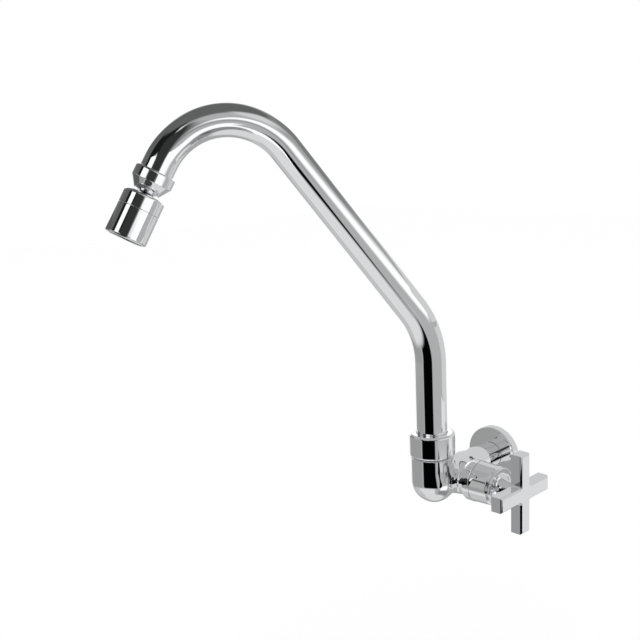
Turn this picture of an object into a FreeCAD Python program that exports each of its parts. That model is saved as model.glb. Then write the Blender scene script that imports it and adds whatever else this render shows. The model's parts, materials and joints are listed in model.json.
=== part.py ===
import FreeCAD, Part
import Sketcher
import math
import os

# Wall-mounted single tap: a brass body on a threaded inlet, a cross handle on a quarter-turn ceramic
# headwork, a swan-neck tube that swings on the body, and a tilting spray head at its end.
# Millimetres. The origin is the middle of the flange's back face, on the wall. +Z is up, +Y goes into
# the wall and +X is the side of the handle. The tube is swung to the side that it is photographed at.

DIMENSIONS = [
    # The inlet and the wall flange, along the inlet axis
    ("thread_diameter", 20.955, "G1/2 pipe thread over its crests"),
    ("thread_gap", 0.05, "radial play between two mating threads"),
    ("tail_length", 14.0, "thread that stands behind the wall face"),
    ("tail_chamfer", 1.0, "lead-in at the end of the tail"),
    ("nipple_bore", 13.0, "waterway of the inlet nipple"),
    ("thread_relief", 1.0, "turned groove behind the flange's thread"),
    ("thread_run_out", 0.5, "end of the thread in front of the flange"),
    ("neck_diameter", 18.6, "plain neck between flange and body"),
    ("neck_recess", 3.0, "neck inside the end of the body"),
    ("nipple_thread", 17.0, "smaller thread of the nipple, in the body"),
    ("nipple_engagement", 9.0, "nipple inside the body"),
    ("flange_diameter", 42.5, "wall flange over its rim"),
    ("flange_thickness", 6.2, "height of the flange off the wall"),
    ("flange_plate", 2.0, "front wall of the flange"),
    ("flange_rim", 1.6, "wall of the flange's rim"),
    ("flange_boss_wall", 2.4, "wall of the threaded boss in the flange"),
    ("flange_edge_radius", 0.5, "rounding of the flange's front edge"),
    ("gasket_play", 0.3, "gap beside the foam gasket"),
    # The cast body
    ("body_end", 16.8, "wall face to the end of the body"),
    ("body_end_radius", 5.0, "rounding of the barrel's end"),
    ("barrel_end_diameter", 21.0, "tapered barrel at the wall end"),
    ("barrel_root_diameter", 25.6, "tapered barrel at the elbow"),
    ("elbow_diameter", 31.2, "elbow under the riser"),
    ("elbow_rise", 1.3, "middle of the elbow's round bottom over the inlet axis"),
    ("riser_reach", 78.6, "wall face to the axis of the riser"),
    ("elbow_top", 20.1, "top of the elbow over the inlet axis"),
    ("socket_depth", 10.0, "threaded socket for the nipple"),
    ("passage_diameter", 8.0, "cored waterways"),
    ("passage_overrun", 1.5, "inlet waterway past the seat"),
    ("inlet_offset", 5.0, "inlet waterway, to the side of the axis"),
    ("outlet_offset", 5.5, "outlet waterway, to the other side"),
    ("riser_bore", 12.0, "waterway below the spigot"),
    ("riser_floor", 6.0, "depth of that waterway under the inlet axis"),
    ("crotch_radius", 3.0, "cast blend where the branches meet"),
    # The headwork, along the handle axis
    ("handle_setback", 52.6, "wall face to the handle axis"),
    ("handle_drop", 2.8, "handle axis under the inlet axis"),
    ("branch_diameter", 25.2, "side branch behind its flange"),
    ("boss_diameter", 30.2, "flange of the side branch"),
    ("boss_start", 16.4, "back of that flange"),
    ("boss_face", 22.9, "end of the side branch"),
    ("boss_root_radius", 0.9, "cast blend behind the flange"),
    ("boss_back_radius", 1.5, "back edge of the flange"),
    ("boss_front_radius", 0.8, "front edge of the flange"),
    ("seat_plane", 0.5, "floor of the headwork chamber"),
    ("seat_bore", 9.0, "hole in the valve seat"),
    ("chamber_diameter", 17.2, "chamber round the cage"),
    ("mouth_depth", 11.6, "length of the chamber's threaded mouth"),
    ("mouth_clearance", 0.4, "headwork thread off the floor of the mouth"),
    ("seal_height", 1.9, "rubber seat seal"),
    ("disc_diameter", 14.8, "ceramic discs"),
    ("disc_height", 3.0, "each ceramic disc"),
    ("port_radius", 2.0, "round ends of the disc ports"),
    ("port_offset", 3.6, "ports from the middle of the disc"),
    ("cage_diameter", 16.9, "cage of the headwork"),
    ("cage_bore", 15.0, "bore of the cage"),
    ("window_width", 9.0, "side windows of the cage"),
    ("foot_height", 5.0, "foot of the spindle"),
    ("running_gap", 0.05, "radial play of a turning fit"),
    ("drive_width", 3.0, "tongue that turns the upper disc"),
    ("drive_length", 11.0, "length of that tongue"),
    ("drive_depth", 1.2, "depth of that tongue"),
    ("washer_height", 1.0, "fibre washer under the hexagon"),
    ("washer_diameter", 25.0, "that washer over its outside"),
    ("hexagon_flats", 22.0, "headwork hexagon across its flats"),
    ("hexagon_height", 4.1, "headwork hexagon"),
    ("gland_diameter", 22.0, "threaded gland that carries the bonnet"),
    ("gland_height", 5.0, "length of that gland"),
    ("stem_diameter", 10.0, "sealed stretch of the spindle"),
    ("ring_section", 1.8, "small rubber rings"),
    ("ring_pitch", 5.0, "between the two rings of the spindle"),
    ("clip_height", 0.8, "spindle clip"),
    ("clip_width", 2.4, "radial width of the clip"),
    ("spline_diameter", 7.8, "handle end of the spindle"),
    ("spline_depth", 17.5, "spindle end inside the handle"),
    ("bonnet_height", 16.7, "branch face to the bonnet's front"),
    ("bonnet_diameter", 29.8, "bonnet at the side branch"),
    ("bonnet_front_diameter", 28.8, "bonnet at its front, before the bevel"),
    ("bonnet_wall", 1.6, "bonnet's skirt"),
    ("bonnet_front", 3.0, "front wall of the bonnet"),
    ("bonnet_chamfer", 2.2, "bevelled front edge of the bonnet"),
    ("seam_gap", 0.3, "open seam between screwed covers"),
    # The cross handle
    ("hub_height", 13.5, "hub between bonnet and cross"),
    ("hub_flange_diameter", 28.2, "flange of the hub, over the bonnet's front"),
    ("hub_flange_height", 1.8, "rim of that flange"),
    ("hub_flange_radius", 0.6, "front edge of the rim"),
    ("hub_flare_radius", 5.0, "hollow flare from the flange to the cone"),
    ("hub_base_diameter", 15.0, "cone of the hub at the bonnet"),
    ("hub_neck_diameter", 10.0, "cone of the hub at the cross"),
    ("cross_span", 58.2, "tip to tip of the arms"),
    ("arm_width", 11.0, "width of an arm"),
    ("arm_depth", 8.9, "depth of an arm"),
    ("arm_corner_radius", 1.6, "inner corners between the arms"),
    ("arm_chamfer", 1.3, "front edges of the cross"),
    ("grub_diameter", 3.0, "grub screw under the hub"),
    ("grub_offset", 9.0, "grub screw from the base of the hub"),
    ("grub_socket", 1.5, "hexagon socket across its flats"),
    # The swinging joint of the spout, along the riser axis
    ("spigot_diameter", 19.9, "spigot in the body"),
    ("spigot_bore", 12.6, "waterway of the spigot"),
    ("spigot_flange_diameter", 25.0, "flange that the nut holds down"),
    ("spigot_flange_height", 2.0, "thickness of that flange"),
    ("spigot_plug", 9.0, "plug brazed into the tube"),
    ("spigot_floor", 6.6, "bottom of the spigot's bore in the body"),
    ("seal_section", 2.0, "rubber rings of the spigot"),
    ("seal_first", 5.0, "first ring from the spigot's foot"),
    ("seal_pitch", 12.0, "between the two rings"),
    ("spout_thread", 26.4, "thread of the body's upper neck"),
    ("spout_thread_length", 11.9, "height of that neck"),
    ("slip_height", 0.8, "slip rings under and over the flange"),
    ("slip_gap", 0.2, "axial play of the swinging flange"),
    ("collar_diameter", 33.1, "collar nut"),
    ("collar_height", 17.0, "collar nut"),
    ("collar_edge_radius", 1.7, "rounded edges of the collar nut"),
    ("collar_lip_play", 0.3, "tube in the mouth of the collar nut"),
    # The tube, in its own upright plane
    ("swing_angle", -28.2, "tube turned from straight out, about +Z"),
    ("tube_diameter", 22.2, "tube over its outside"),
    ("tube_wall", 1.0, "tube wall"),
    ("riser_top", 88.6, "first bend over the inlet axis"),
    ("lean_angle", 36.45, "turn of the first bend"),
    ("lean_radius", 67.4, "first bend, on the centre line"),
    ("lean_length", 142.4, "straight run between the bends"),
    ("hook_angle", 113.2, "turn of the swan-neck's top"),
    ("hook_radius", 48.3, "top bend, on the centre line"),
    ("outlet_run", 6.7, "straight run down to the outlet nut"),
    # The outlet nut and its ball, along the outlet axis
    ("tube_entry", 3.4, "tube inside the outlet nut"),
    ("ferrule_recess", 0.6, "ferrule below the nut's rim"),
    ("ferrule_length", 4.2, "ferrule brazed on the tube"),
    ("ferrule_bore", 16.0, "waterway of the ferrule"),
    ("outlet_thread", 24.0, "thread between ferrule and nut"),
    ("outlet_nut_diameter", 26.9, "band of the outlet nut"),
    ("outlet_nut_band", 7.2, "height of that band"),
    ("outlet_nut_height", 14.5, "whole outlet nut"),
    ("outlet_nut_mouth", 17.0, "small end of the nut's cone"),
    ("outlet_nut_edge_radius", 1.3, "rounded rim of the nut"),
    ("ball_seal_height", 1.3, "rubber seal over the ball"),
    ("seat_ring_height", 1.1, "hard ring over the ball"),
    ("seat_ring_gap", 0.2, "play round the hard ring"),
    ("ball_diameter", 16.4, "swivel ball"),
    ("ball_depth", 9.6, "nut's rim to the ball's centre"),
    ("ball_play", 0.1, "ball in its seat"),
    ("ball_neck_diameter", 9.2, "neck under the ball"),
    ("ball_neck_length", 9.3, "ball's centre to its thread"),
    ("ball_thread_diameter", 12.2, "thread that holds the head"),
    ("ball_thread_length", 4.4, "length of that thread"),
    ("ball_bore", 6.0, "waterway of the ball"),
    # The spray head, along its own axis from the ball's centre
    ("head_tilt", 0.6, "head tipped towards the upright from the outlet axis"),
    ("head_sway", 6.0, "head tipped out of the tube's plane, towards the handle's side"),
    ("head_diameter", 27.5, "spray head"),
    ("head_start", 7.0, "ball's centre to the head's top"),
    ("head_length", 30.2, "whole spray head"),
    ("head_cap_height", 10.0, "upper shell, down to the seam"),
    ("head_shoulder_radius", 3.4, "rounded top of the head"),
    ("head_dish_diameter", 20.0, "hollow in the head's top"),
    ("head_dish_depth", 2.0, "depth of that hollow"),
    ("head_crown", 2.7, "metal under the hollow"),
    ("head_socket_depth", 5.2, "threaded socket in the crown"),
    ("head_socket_wall", 2.0, "wall round that socket"),
    ("head_cap_wall", 0.8, "skirt of the upper shell"),
    ("head_joint_length", 4.0, "screwed joint between the shells"),
    ("head_shell_wall", 1.75, "lower shell"),
    ("head_lip_height", 1.1, "lip at the bottom of the lower shell"),
    ("head_lip_width", 2.3, "lip, from the outside of the shell"),
    ("head_foot_radius", 1.4, "rounded bottom edge"),
    ("gasket_height", 1.6, "rubber gasket over the insert"),
    ("insert_play", 0.1, "insert in its shell"),
    ("insert_wall", 0.9, "wall of the insert's cup"),
    ("plate_height", 1.6, "perforated plate"),
    ("plate_hole", 1.6, "holes of the perforated plate"),
    ("plate_circle", 15.0, "circle of those holes"),
    ("screen_height", 0.4, "each wire screen"),
    ("screen_pitch", 2.2, "between the wire screens"),
    ("honeycomb_height", 3.4, "outlet grid"),
    ("honeycomb_hole", 2.2, "cells of the outlet grid"),
    ("honeycomb_pitch", 2.9, "between the rings of cells"),
]
PLATE_HOLES = 12
CELL_RINGS = 3
SHEET_NAME = "Dimensions"
SAME_PLACE = 0.001  # edges are found by size and place to this many millimetres
SEAM_REACH = 1.0  # a seam between branches reaches further than this in all three directions

doc = FreeCAD.newDocument("WallFaucet")
sheet = doc.addObject("Spreadsheet::Sheet", SHEET_NAME)


class Size:
    """A number worked out from the sheet: its value now, and the expression that keeps it current."""

    def __init__(self, value, text):
        self.value = value
        self.text = text

    def __add__(self, other):
        other = sized(other)
        return Size(self.value + other.value, f"({self.text} + {other.text})")

    def __sub__(self, other):
        other = sized(other)
        return Size(self.value - other.value, f"({self.text} - {other.text})")

    def __mul__(self, other):
        other = sized(other)
        return Size(self.value * other.value, f"({self.text} * {other.text})")

    def __truediv__(self, other):
        other = sized(other)
        return Size(self.value / other.value, f"({self.text} / {other.text})")

    def __rmul__(self, other):
        return sized(other) * self

    def __neg__(self):
        return Size(-self.value, f"(0 - {self.text})")


def sized(number):
    """A plain number as a Size; a Size as it is."""
    return number if isinstance(number, Size) else Size(float(number), repr(number))


def sine(angle):
    return Size(math.sin(math.radians(angle.value)), f"sin({angle.text})")


def cosine(angle):
    return Size(math.cos(math.radians(angle.value)), f"cos({angle.text})")


class Dimensions:
    """The driving dimensions by name, each as a Size that reads its cell of the sheet."""


d = Dimensions()
for row, (alias, number, note) in enumerate(DIMENSIONS, start=1):
    sheet.set(f"A{row}", alias)
    sheet.set(f"B{row}", str(number))
    sheet.set(f"C{row}", note)
    sheet.setAlias(f"B{row}", alias)
    setattr(d, alias, Size(float(number), f"{SHEET_NAME}.{alias}"))
doc.recompute()


# ---- How a piece is made -------------------------------------------------------------------------

subparts = []

UPRIGHT = "rotation(vector(0; 0; 1); 0)"
INLET_AXIS = "rotation(vector(1; 0; 0); 90)"
HANDLE_AXIS = "rotation(vector(0; 1; 0); 90)"
flat_share = cosine(sized(30))  # a hexagon over its flats, as a share of its corners


def place(thing, x, y, z, turn=UPRIGHT):
    """Bind where a body or a primitive stands and how it is turned."""
    x, y, z = sized(x), sized(y), sized(z)
    thing.setExpression("Placement", f"placement(vector({x.text}; {y.text}; {z.text}); {turn})")


def piece(label, x, y, z, turn=UPRIGHT):
    """An empty body for one sub-part, at its place."""
    body = doc.addObject("PartDesign::Body", label)
    body.Label = label
    place(body, x, y, z, turn)
    subparts.append(body)
    return body


def primitive(body, kind, x=0, y=0, z=0, turn=UPRIGHT, **sizes):
    """Add or cut a cylinder, cone, sphere, ring, box or prism inside a body."""
    feature = body.newObject(f"PartDesign::{kind}", f"{body.Label}_{kind}")
    place(feature, x, y, z, turn)
    for name, size in sizes.items():
        if name in ("Polygon", "Angle1", "Angle2", "Angle3"):
            setattr(feature, name, size)
        else:
            size = sized(size)
            setattr(feature, name, size.value)
            feature.setExpression(name, size.text)
    return feature


def origin_plane(body, role):
    return [item for item in body.Origin.OriginFeatures if item.Role == role][0]


def sketch_on(body, role, name):
    sketch = body.newObject("Sketcher::SketchObject", f"{body.Label}_{name}")
    sketch.AttachmentSupport = [(origin_plane(body, role), "")]
    sketch.MapMode = "FlatFace"
    return sketch


def pin_point(sketch, geometry, vertex, x, y):
    """Hold one sketch point at two bound distances from the sketch's origin."""
    for kind, size, axis in (("DistanceX", x, -2), ("DistanceY", y, -1)):
        if size.value == 0.0:
            sketch.addConstraint(Sketcher.Constraint("PointOnObject", geometry, vertex, axis))
            continue
        index = sketch.addConstraint(Sketcher.Constraint(kind, -1, 1, geometry, vertex, size.value))
        sketch.setExpression(f"Constraints[{index}]", size.text)


def closed_outline(sketch, corners):
    """Draw a closed line through bound corners."""
    corners = [(sized(x), sized(y)) for x, y in corners]
    flat = [FreeCAD.Vector(x.value, y.value, 0) for x, y in corners]
    count = len(flat)
    for index in range(count):
        sketch.addGeometry(Part.LineSegment(flat[index], flat[(index + 1) % count]))
    for index in range(count):
        sketch.addConstraint(Sketcher.Constraint("Coincident", index, 2, (index + 1) % count, 1))
    for index, (x, y) in enumerate(corners):
        pin_point(sketch, index, 1, x, y)


def turn_profile(body, corners, name="profile"):
    """Revolve a profile of (radius, height) corners about the body's own Z."""
    sketch = sketch_on(body, "XZ_Plane", name)
    closed_outline(sketch, corners)
    solid = body.newObject("PartDesign::Revolution", f"{body.Label}_{name}_turned")
    solid.Profile = sketch
    solid.ReferenceAxis = (sketch, ["V_Axis"])
    solid.Angle = 360.0
    doc.recompute()
    return solid


def turned(label, corners, x, y, z, turn=UPRIGHT):
    body = piece(label, x, y, z, turn)
    turn_profile(body, corners)
    return body


def tube_profile(inner, outer, low, high):
    """Corners of a plain ring."""
    return [(inner, low), (outer, low), (outer, high), (inner, high)]


def circles_at(feature, rings):
    """Names of the round edges about Z that have the given radii and heights."""
    names = []
    for number, edge in enumerate(feature.Shape.Edges, start=1):
        if not isinstance(edge.Curve, Part.Circle):
            continue
        centre = edge.Curve.Center
        if math.hypot(centre.x, centre.y) > SAME_PLACE:
            continue
        for radius, height in rings:
            same_radius = abs(edge.Curve.Radius - radius.value) < SAME_PLACE
            if same_radius and abs(centre.z - height.value) < SAME_PLACE:
                names.append(f"Edge{number}")
    return names


def dress(body, kind, edges, size):
    """Round (Fillet) or bevel (Chamfer) named edges of the body's latest solid."""
    solid = body.Tip
    feature = body.newObject(f"PartDesign::{kind}", f"{body.Label}_{kind}")
    feature.Base = (solid, edges)
    name = "Radius" if kind == "Fillet" else "Size"
    setattr(feature, name, size.value)
    feature.setExpression(name, size.text)
    doc.recompute()


def round_rings(body, rings, radius):
    """Round the circular edges of a turned piece, each given by its radius and height."""
    rings = [(sized(ring), sized(height)) for ring, height in rings]
    dress(body, "Fillet", circles_at(body.Tip, rings), radius)


def polar_copies(body, feature, count):
    """Repeat a feature round the body's own Z."""
    pattern = body.newObject("PartDesign::PolarPattern", f"{body.Label}_ring")
    pattern.Originals = [feature]
    pattern.Axis = (origin_plane(body, "Z_Axis"), [""])
    pattern.Angle = 360.0
    pattern.Occurrences = count
    body.Tip = pattern
    doc.recompute()


# ---- Inlet: nipple, wall flange and its gasket ---------------------------------------------------
# Heights run out of the wall along the inlet axis.

thread_radius = d.thread_diameter / 2
female_radius = thread_radius + d.thread_gap
neck_radius = d.neck_diameter / 2
neck_start = d.tail_length + d.flange_thickness + d.thread_run_out
body_start = d.tail_length + d.body_end
neck_end = body_start + d.neck_recess - d.seam_gap
turned("inlet_nipple", [
    (d.nipple_bore / 2, 0),
    (thread_radius - d.tail_chamfer, 0),
    (thread_radius, d.tail_chamfer),
    (thread_radius, d.tail_length),
    (neck_radius, d.tail_length),
    (neck_radius, d.tail_length + d.thread_relief),
    (thread_radius, d.tail_length + d.thread_relief),
    (thread_radius, neck_start),
    (neck_radius, neck_start),
    (neck_radius, neck_end),
    (d.nipple_thread / 2, neck_end),
    (d.nipple_thread / 2, body_start + d.nipple_engagement),
    (d.nipple_bore / 2, body_start + d.nipple_engagement),
], 0, d.tail_length, 0, INLET_AXIS)

flange_radius = d.flange_diameter / 2
flange_floor = d.flange_thickness - d.flange_plate
boss_radius = female_radius + d.flange_boss_wall
flange = turned("wall_flange", [
    (female_radius, d.seam_gap),
    (boss_radius, d.seam_gap),
    (boss_radius, flange_floor),
    (flange_radius - d.flange_rim, flange_floor),
    (flange_radius - d.flange_rim, 0),
    (flange_radius, 0),
    (flange_radius, d.flange_thickness),
    (female_radius, d.flange_thickness),
], 0, 0, 0, INLET_AXIS)
round_rings(flange, [(flange_radius, d.flange_thickness)], d.flange_edge_radius)

turned("wall_gasket", tube_profile(
    boss_radius + d.gasket_play, flange_radius - d.flange_rim - d.gasket_play, 0, flange_floor,
), 0, 0, 0, INLET_AXIS)


# ---- Cast body: barrel, elbow, side branch and cored waterways -----------------------------------

elbow_radius = d.elbow_diameter / 2
branch_radius = d.branch_diameter / 2
branch_rim = d.boss_diameter / 2
barrel_end_radius = d.barrel_end_diameter / 2
neck_top = d.elbow_top + d.spout_thread_length
handle_y = -d.handle_setback
handle_z = -d.handle_drop
riser_y = -d.riser_reach
chamber_length = d.boss_face - d.seat_plane


def body_seams(solid):
    """Inner corners where the branches meet: the edges that bend through all three directions."""
    names = []
    for number, edge in enumerate(solid.Shape.Edges, start=1):
        box = edge.BoundBox
        if min(box.XLength, box.YLength, box.ZLength) > SEAM_REACH:
            names.append(f"Edge{number}")
    return names


def branch_rings(solid, x, y, radius):
    """Round edges of one radius about the side branch or the barrel, by where they are centred."""
    names = []
    for number, edge in enumerate(solid.Shape.Edges, start=1):
        if edge.Degenerated or not isinstance(edge.Curve, Part.Circle):
            continue
        centre = edge.Curve.Center
        off_centre = math.hypot(centre.x - sized(x).value, centre.y - sized(y).value)
        if off_centre < SAME_PLACE and abs(edge.Curve.Radius - radius.value) < SAME_PLACE:
            names.append(f"Edge{number}")
    return names


valve_body = piece("valve_body", 0, 0, 0)
primitive(valve_body, "AdditiveCone", 0, -d.body_end, 0, INLET_AXIS,
          Radius1=barrel_end_radius, Radius2=d.barrel_root_diameter / 2,
          Height=d.riser_reach - d.body_end)
primitive(valve_body, "AdditiveSphere", 0, riser_y, d.elbow_rise,
          Radius=elbow_radius, Angle1=-90, Angle2=90, Angle3=360)
primitive(valve_body, "AdditiveCylinder", 0, riser_y, d.elbow_rise,
          Radius=elbow_radius, Height=d.elbow_top - d.elbow_rise)
primitive(valve_body, "AdditiveSphere", 0, handle_y, handle_z,
          Radius=branch_radius, Angle1=-90, Angle2=90, Angle3=360)
primitive(valve_body, "AdditiveCylinder", 0, handle_y, handle_z, HANDLE_AXIS,
          Radius=branch_radius, Height=d.boss_face)
primitive(valve_body, "AdditiveCylinder", d.boss_start, handle_y, handle_z, HANDLE_AXIS,
          Radius=branch_rim, Height=d.boss_face - d.boss_start)
primitive(valve_body, "AdditiveCylinder", 0, riser_y, d.elbow_top,
          Radius=d.spout_thread / 2, Height=d.spout_thread_length)
doc.recompute()
dress(valve_body, "Fillet", body_seams(valve_body.Tip), d.crotch_radius)
for x, y, radius, rounding in (
    (0, -d.body_end, barrel_end_radius, d.body_end_radius),
    (d.boss_start, handle_y, branch_radius, d.boss_root_radius),
    (d.boss_start, handle_y, branch_rim, d.boss_back_radius),
    (d.boss_face, handle_y, branch_rim, d.boss_front_radius),
):
    dress(valve_body, "Fillet", branch_rings(valve_body.Tip, x, y, radius), rounding)
primitive(valve_body, "SubtractiveCylinder", 0, -d.body_end, 0, INLET_AXIS,
          Radius=neck_radius + d.seam_gap, Height=d.neck_recess)
primitive(valve_body, "SubtractiveCylinder", 0, -d.body_end, 0, INLET_AXIS,
          Radius=d.nipple_thread / 2 + d.thread_gap, Height=d.socket_depth)
socket_floor = d.body_end + d.socket_depth
inlet_passage_end = d.handle_setback + d.seat_bore / 2 + d.passage_overrun
primitive(valve_body, "SubtractiveCylinder", -d.inlet_offset, -socket_floor, 0, INLET_AXIS,
          Radius=d.passage_diameter / 2, Height=inlet_passage_end - socket_floor)
primitive(valve_body, "SubtractiveCylinder", -d.inlet_offset, handle_y, handle_z, HANDLE_AXIS,
          Radius=d.seat_bore / 2, Height=d.inlet_offset + d.seat_plane)
primitive(valve_body, "SubtractiveCylinder", d.seat_plane, handle_y, handle_z, HANDLE_AXIS,
          Radius=d.chamber_diameter / 2, Height=chamber_length)
primitive(valve_body, "SubtractiveCylinder", d.boss_face - d.mouth_depth, handle_y, handle_z, HANDLE_AXIS,
          Radius=female_radius, Height=d.mouth_depth)
primitive(valve_body, "SubtractiveCylinder", d.outlet_offset, handle_y, 0, INLET_AXIS,
          Radius=d.passage_diameter / 2, Height=d.riser_reach - d.handle_setback)
primitive(valve_body, "SubtractiveCylinder", 0, riser_y, -d.riser_floor,
          Radius=d.riser_bore / 2, Height=d.riser_floor + d.spigot_floor)
spigot_socket = d.spigot_diameter / 2 + d.running_gap
primitive(valve_body, "SubtractiveCylinder", 0, riser_y, d.spigot_floor,
          Radius=spigot_socket, Height=neck_top - d.spigot_floor)


# ---- Headwork: seal, ceramic discs, screwed body, spindle and bonnet ------------------------------
# Heights run from the inlet axis towards the handle.

def on_handle_axis(height):
    """Where a piece of the headwork starts, at a height along the handle axis."""
    return height, handle_y, handle_z, HANDLE_AXIS


disc_start = d.seat_plane + d.seal_height
moving_start = disc_start + d.disc_height + d.running_gap
foot_start = moving_start + d.disc_height
foot_top = foot_start + d.foot_height
cage_radius = d.cage_bore / 2
hexagon_start = d.boss_face + d.washer_height
hexagon_top = hexagon_start + d.hexagon_height
gland_top = hexagon_top + d.gland_height
stem_radius = d.stem_diameter / 2

turned("seat_seal", tube_profile(
    d.seat_bore / 2, cage_radius, 0, d.seal_height,
), *on_handle_axis(d.seat_plane))


def ceramic_disc(label, height, port_x, port_y):
    """A disc with a round port on either side of its middle."""
    disc = turned(label, [
        (0, 0), (d.disc_diameter / 2, 0), (d.disc_diameter / 2, d.disc_height), (0, d.disc_height),
    ], *on_handle_axis(height))
    for side in (-1, 1):
        primitive(disc, "SubtractiveCylinder", side * port_x, side * port_y, 0,
                  Radius=d.port_radius, Height=d.disc_height)
    return disc


# The tap is shut while the two discs' ports stand crosswise.
ceramic_disc("fixed_disc", disc_start, 0, d.port_offset)
moving_disc = ceramic_disc("moving_disc", moving_start, d.port_offset, 0)
primitive(moving_disc, "SubtractiveBox",
          -d.drive_width / 2, -d.drive_length / 2, d.disc_height - d.drive_depth,
          Length=d.drive_width, Width=d.drive_length, Height=d.drive_depth)

headwork_thread_start = d.boss_face - d.mouth_depth + d.mouth_clearance
headwork = turned("headwork_body", [
    (cage_radius, disc_start),
    (d.cage_diameter / 2, disc_start),
    (d.cage_diameter / 2, headwork_thread_start),
    (thread_radius, headwork_thread_start),
    (thread_radius, hexagon_start),
    (d.gland_diameter / 2, hexagon_start),
    (d.gland_diameter / 2, gland_top),
    (stem_radius + d.running_gap, gland_top),
    (stem_radius + d.running_gap, foot_top + d.seam_gap),
    (cage_radius, foot_top + d.seam_gap),
], *on_handle_axis(0))
primitive(headwork, "AdditivePrism", 0, 0, hexagon_start,
          Polygon=6, Circumradius=d.hexagon_flats / 2 / flat_share, Height=d.hexagon_height)
primitive(headwork, "SubtractiveCylinder", 0, 0, foot_top + d.seam_gap,
          Radius=stem_radius + d.running_gap, Height=gland_top - foot_top)
primitive(headwork, "SubtractiveBox", -d.window_width / 2, -d.cage_diameter, moving_start,
          Length=d.window_width, Width=d.cage_diameter * 2, Height=d.disc_height + d.running_gap)

turned("headwork_washer", tube_profile(
    female_radius, d.washer_diameter / 2, 0, d.washer_height,
), *on_handle_axis(d.boss_face))

ring_groove = stem_radius - d.ring_section
first_ring = foot_top + d.ring_pitch
second_ring = first_ring + d.ring_pitch
groove_half = d.ring_section / 2 + d.running_gap
clip_start = gland_top + d.running_gap
clip_top = clip_start + d.clip_height
clip_floor = d.spline_diameter / 2
spindle_end = d.boss_face + d.bonnet_height + d.seam_gap + d.spline_depth
spindle = turned("spindle", [
    (0, foot_start),
    (cage_radius - d.running_gap, foot_start),
    (cage_radius - d.running_gap, foot_top),
    (stem_radius, foot_top),
    (stem_radius, first_ring - groove_half),
    (ring_groove, first_ring - groove_half),
    (ring_groove, first_ring + groove_half),
    (stem_radius, first_ring + groove_half),
    (stem_radius, second_ring - groove_half),
    (ring_groove, second_ring - groove_half),
    (ring_groove, second_ring + groove_half),
    (stem_radius, second_ring + groove_half),
    (stem_radius, clip_start),
    (clip_floor, clip_start),
    (clip_floor, spindle_end),
    (0, spindle_end),
], *on_handle_axis(0))

tongue_half = d.drive_width / 2 - d.running_gap
tongue_reach = d.drive_length / 2 - d.running_gap
primitive(spindle, "AdditiveBox", -tongue_half, -tongue_reach, foot_start - d.drive_depth + d.running_gap,
          Length=tongue_half * 2, Width=tongue_reach * 2, Height=d.drive_depth)

rings = piece("spindle_rings", *on_handle_axis(0))
for height in (first_ring, second_ring):
    primitive(rings, "AdditiveTorus", 0, 0, height, Angle1=-180, Angle2=180, Angle3=360,
              Radius1=stem_radius - d.ring_section / 2, Radius2=d.ring_section / 2)

turned("spindle_clip", tube_profile(
    clip_floor, clip_floor + d.clip_width, clip_start, clip_top,
), *on_handle_axis(0))

bonnet_top = d.boss_face + d.bonnet_height
bonnet_bore = d.gland_diameter / 2 + d.thread_gap
skirt_bore = d.bonnet_diameter / 2 - d.bonnet_wall
bonnet_front_radius = d.bonnet_front_diameter / 2
turned("bonnet", [
    (skirt_bore, d.boss_face + d.seam_gap),
    (d.bonnet_diameter / 2, d.boss_face + d.seam_gap),
    (bonnet_front_radius, bonnet_top - d.bonnet_chamfer),
    (bonnet_front_radius - d.bonnet_chamfer, bonnet_top),
    (stem_radius + d.seam_gap, bonnet_top),
    (stem_radius + d.seam_gap, bonnet_top - d.bonnet_front),
    (bonnet_bore, bonnet_top - d.bonnet_front),
    (bonnet_bore, hexagon_top + d.seam_gap),
    (skirt_bore, hexagon_top + d.seam_gap),
], *on_handle_axis(0))


# ---- Cross handle: one casting with its hub, and the grub screw that holds it ---------------------
# Heights run from the hub's base.

hub_base = bonnet_top + d.seam_gap
arm_half = d.arm_width / 2
handle_front = d.hub_height + d.arm_depth


def inner_corners(solid):
    """The four upright corners between the arms."""
    names = []
    for number, edge in enumerate(solid.Shape.Edges, start=1):
        box = edge.BoundBox
        middle = edge.CenterOfMass
        upright = box.XLength < SAME_PLACE and box.YLength < SAME_PLACE
        aside = abs(middle.x), abs(middle.y)
        if upright and all(abs(offset - arm_half.value) < SAME_PLACE for offset in aside):
            names.append(f"Edge{number}")
    return names


def front_edges(solid):
    """Every edge of the cross's front face."""
    names = []
    for number, edge in enumerate(solid.Shape.Edges, start=1):
        box = edge.BoundBox
        if box.ZLength < SAME_PLACE and abs(box.ZMin - handle_front.value) < SAME_PLACE:
            names.append(f"Edge{number}")
    return names


cross_handle = piece("cross_handle", *on_handle_axis(hub_base))
primitive(cross_handle, "AdditiveBox", -arm_half, -d.cross_span / 2, d.hub_height,
          Length=d.arm_width, Width=d.cross_span, Height=d.arm_depth)
primitive(cross_handle, "AdditiveBox", -d.cross_span / 2, -arm_half, d.hub_height,
          Length=d.cross_span, Width=d.arm_width, Height=d.arm_depth)
doc.recompute()
dress(cross_handle, "Fillet", inner_corners(cross_handle.Tip), d.arm_corner_radius)
dress(cross_handle, "Chamfer", front_edges(cross_handle.Tip), d.arm_chamfer)
primitive(cross_handle, "AdditiveCylinder", 0, 0, 0,
          Radius=d.hub_flange_diameter / 2, Height=d.hub_flange_height)
primitive(cross_handle, "AdditiveCone", 0, 0, 0,
          Radius1=d.hub_base_diameter / 2, Radius2=d.hub_neck_diameter / 2, Height=d.hub_height)
doc.recompute()
hub_slope = (d.hub_base_diameter - d.hub_neck_diameter) / 2 / d.hub_height
cone_root = d.hub_base_diameter / 2 - hub_slope * d.hub_flange_height
round_rings(cross_handle, [(cone_root, d.hub_flange_height)], d.hub_flare_radius)
round_rings(cross_handle, [(d.hub_flange_diameter / 2, d.hub_flange_height)], d.hub_flange_radius)
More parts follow.
